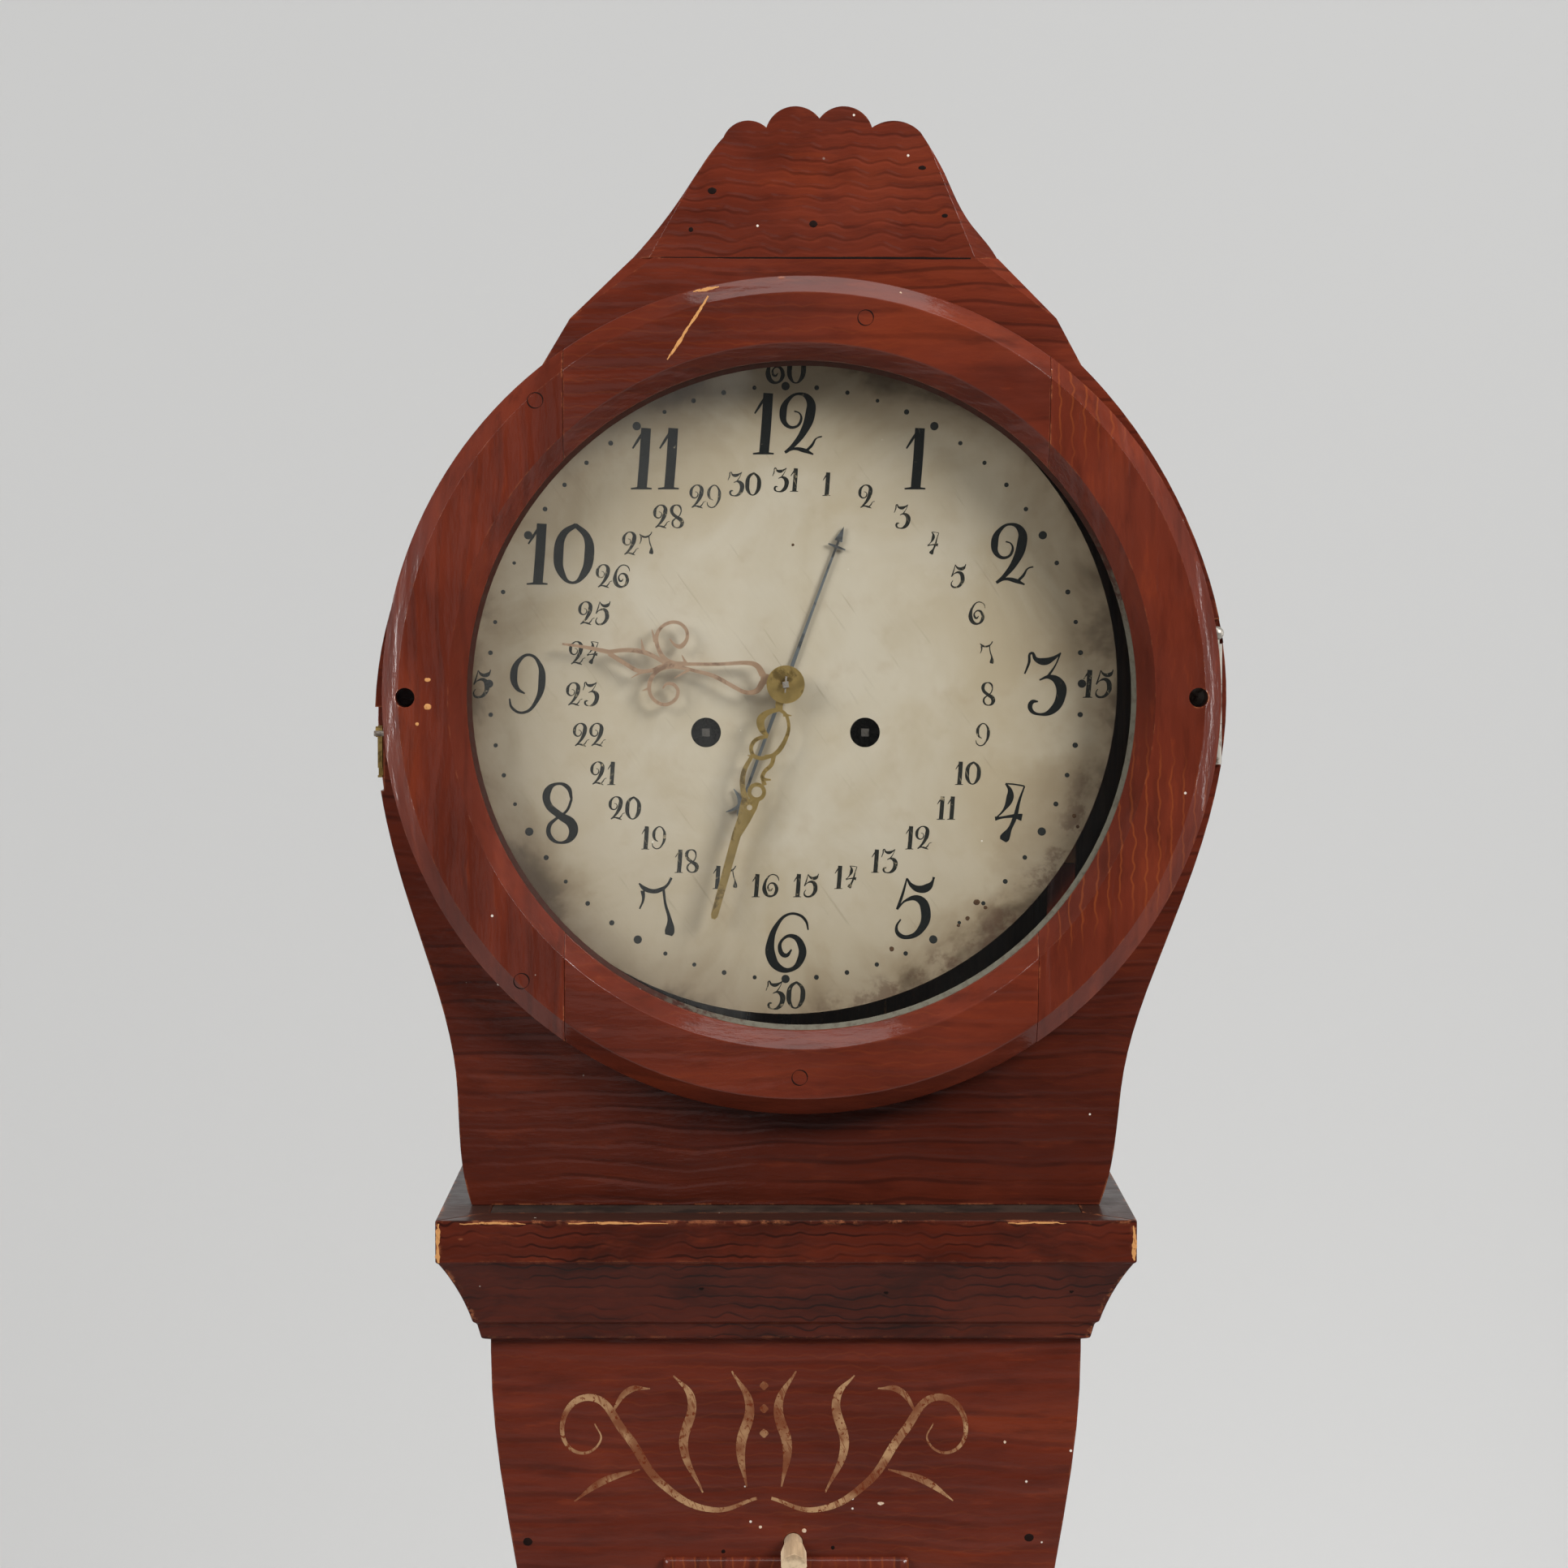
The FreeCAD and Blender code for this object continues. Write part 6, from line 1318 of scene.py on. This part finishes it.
# On the cornice, dim darkens the whole board evenly, since its limits lie above the board.
SMOKED = replace(PLAIN, combed=0.85, glints=0.0, soot=0.5, worn=1.0, wear=5 * MM, gloss=0.12, dusty=0.8, dim=0.3,
                 pitch=6 * MM, swell=1.7)
RUBBED = replace(PLAIN, worn=0.9)


@dataclass(frozen=True)
class Board:
    """A painted board of the case: how its grain runs, how wide its eased edges are and how it is painted."""

    node: str
    run: Run
    ease: float = 0.9 * MM
    paint: PaintedPine = PLAIN
    chamfers: tuple[Chamfer, ...] = ()
    first_shift: float = 0.7
    next_shift: float = 0.83

    def make(self, order: int) -> None:
        """Remakes the board.

        Args:
            order: Its place among the boards, which shifts its pattern.
        """
        shift = self.first_shift + order * self.next_shift
        paint = replace(self.paint, name=f"red_{self.node}", run=self.run, shift=shift)
        eased(self.node, paint, self.ease, self.chamfers)


BOARDS = (
    Board("plinth_front", Run.ACROSS),
    Board("plinth_sides", Run.DEEP),
    Board("plinth_moulding", Run.ACROSS),
    Board("trunk_front", Run.ACROSS, 2.2 * MM, replace(RUBBED, combed=0.3, glints=0.05)),
    Board("trunk_door", Run.UPRIGHT, 2.0 * MM, RUBBED),
    Board("trunk_left_side", Run.UPRIGHT),
    Board("trunk_right_side", Run.UPRIGHT),
    Board("cornice_front", Run.ACROSS, 0.8 * MM, SMOKED),
    Board("cornice_returns", Run.DEEP, 0.8 * MM, SMOKED),
    # Its dim is painted shade: the hood front is darkened below the ring, as if in the ring's shadow.
    Board("hood_front_board", Run.ACROSS, paint=replace(
        PLAIN, glints=0.04, pitch=10 * MM, dim=0.35, dim_low=1.50, dim_high=1.72,
    ), chamfers=(
        Chamfer((-0.1178, 1.9443), (-0.0720, 1.9775), -1), Chamfer((0.1478, 1.9443), (0.1030, 1.9775), 1),
    )),
    Board("hood_left_wall", Run.UPRIGHT),
    Board("hood_right_wall", Run.UPRIGHT),
    Board("hood_roof_board", Run.DEEP),
    Board("crest_board", Run.ACROSS, 1.6 * MM, replace(
        PLAIN, combed=0.42, glints=0.05, worn=0.3, pitch=7 * MM, swell=1.7, ridges=0.4,
    ), (
        Chamfer((-0.0745, 1.9773), (-0.0423, 2.0346), -1), Chamfer((0.1033, 1.9773), (0.0796, 2.0346), 1),
    )),
    Board("bezel_left_board", Run.UPRIGHT, 0.7 * MM, replace(PLAIN, combed=0.25, glints=0.0)),
    Board("bezel_right_board", Run.UPRIGHT, 0.7 * MM, replace(PLAIN, combed=0.2, glints=0.24)),
    Board("bezel_top_board", Run.ACROSS, 0.7 * MM, replace(PLAIN, combed=0.25, glints=0.05)),
    Board("bezel_bottom_board", Run.ACROSS, 0.7 * MM, replace(PLAIN, combed=0.25, glints=0.05)),
)


@dataclass(frozen=True)
class GutLine:
    """A weight's gut line in four pieces, so that its two strands shorten as the weight rises."""

    weight: str
    loop_height: float = 410 * MM
    lift: float = 1100 * MM

    def part(self, cuts: Iterable[tuple[Vector, Vector]]) -> Shape:
        """A part of the line.

        Args:
            cuts: Planes, each a point and the way out of the part.

        Returns:
            The part, closed where it was cut.
        """
        shape = CASE.merged(f"{self.weight}_line")
        for point, outwards in cuts:
            bmesh.ops.holes_fill(shape, edges=sliced(shape, point, outwards, 0.0))
        return shape

    def make(self) -> None:
        """Builds the two strands, the loop round the pulley and the knot."""
        node = f"{self.weight}_line"
        low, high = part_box(f"{self.weight}_weight")
        across = (low.x + high.x) / 2
        outer = Vector((math.copysign(1.0, across), 0.0, 0.0))
        up = Vector((0.0, 0.0, 1.0))
        loop, seat, drum = (Vector((across, 0.0, height)) for height in (
            self.loop_height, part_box("seat_board")[1].z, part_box(node)[1].z))
        body = CASE.bodies[node]
        for name, top, cuts in (
            ("drum", drum, ((loop, -up), (loop, outer))),
            ("tied", seat, ((loop, -up), (loop, -outer), (seat, up))),
        ):
            strand = add_piece(f"{node}_{name}", self.part(cuts), GUT, body, (node,))
            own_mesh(strand)
        add_piece(f"{node}_loop", self.part(((loop, up),)), GUT, CASE.bodies[f"{self.weight}_weight"])
        add_piece(f"{node}_knot", self.part(((seat, -up), (seat, -outer))), GUT, body, (node,))


def dress_the_rest() -> None:
    """Gives every CAD node that is kept the finish of its material slot."""
    for node, item in frame["nodes"].items():
        for place in item.material_slots:
            place.material = SLOT_FINISHES[place.material.name.split(".")[0]].material()
        LOG.info("%s dressed", node)


def clear_start() -> None:
    """Takes away what a new file opens with."""
    for name in ("Cube", "Light", "Camera"):
        item = bpy.data.objects.get(name)
        if item is not None:
            bpy.data.objects.remove(item)


def main() -> None:
    """Builds the clock's looks in order."""
    logging.basicConfig(level=logging.INFO, format="%(name)s: %(message)s")
    clear_start()
    noise.seed_set(NOISE_SEED)
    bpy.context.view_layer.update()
    CASE.read()
    View().make()
    Studio().make()
    dress_the_rest()
    for order, board in enumerate(BOARDS):
        board.make(order)
    eased("door_peg", BIRCH, 0.4 * MM)
    eased("hood_platform", SOOTY, 0.5 * MM)
    for part in (DialPrint(), TrunkOrnament(), *MARKS, *BARE_LINES, PlugRings(), ArborPin(), GutLine("going"),
                 GutLine("striking")):
        part.make()


if __name__ == "__main__":
    main()
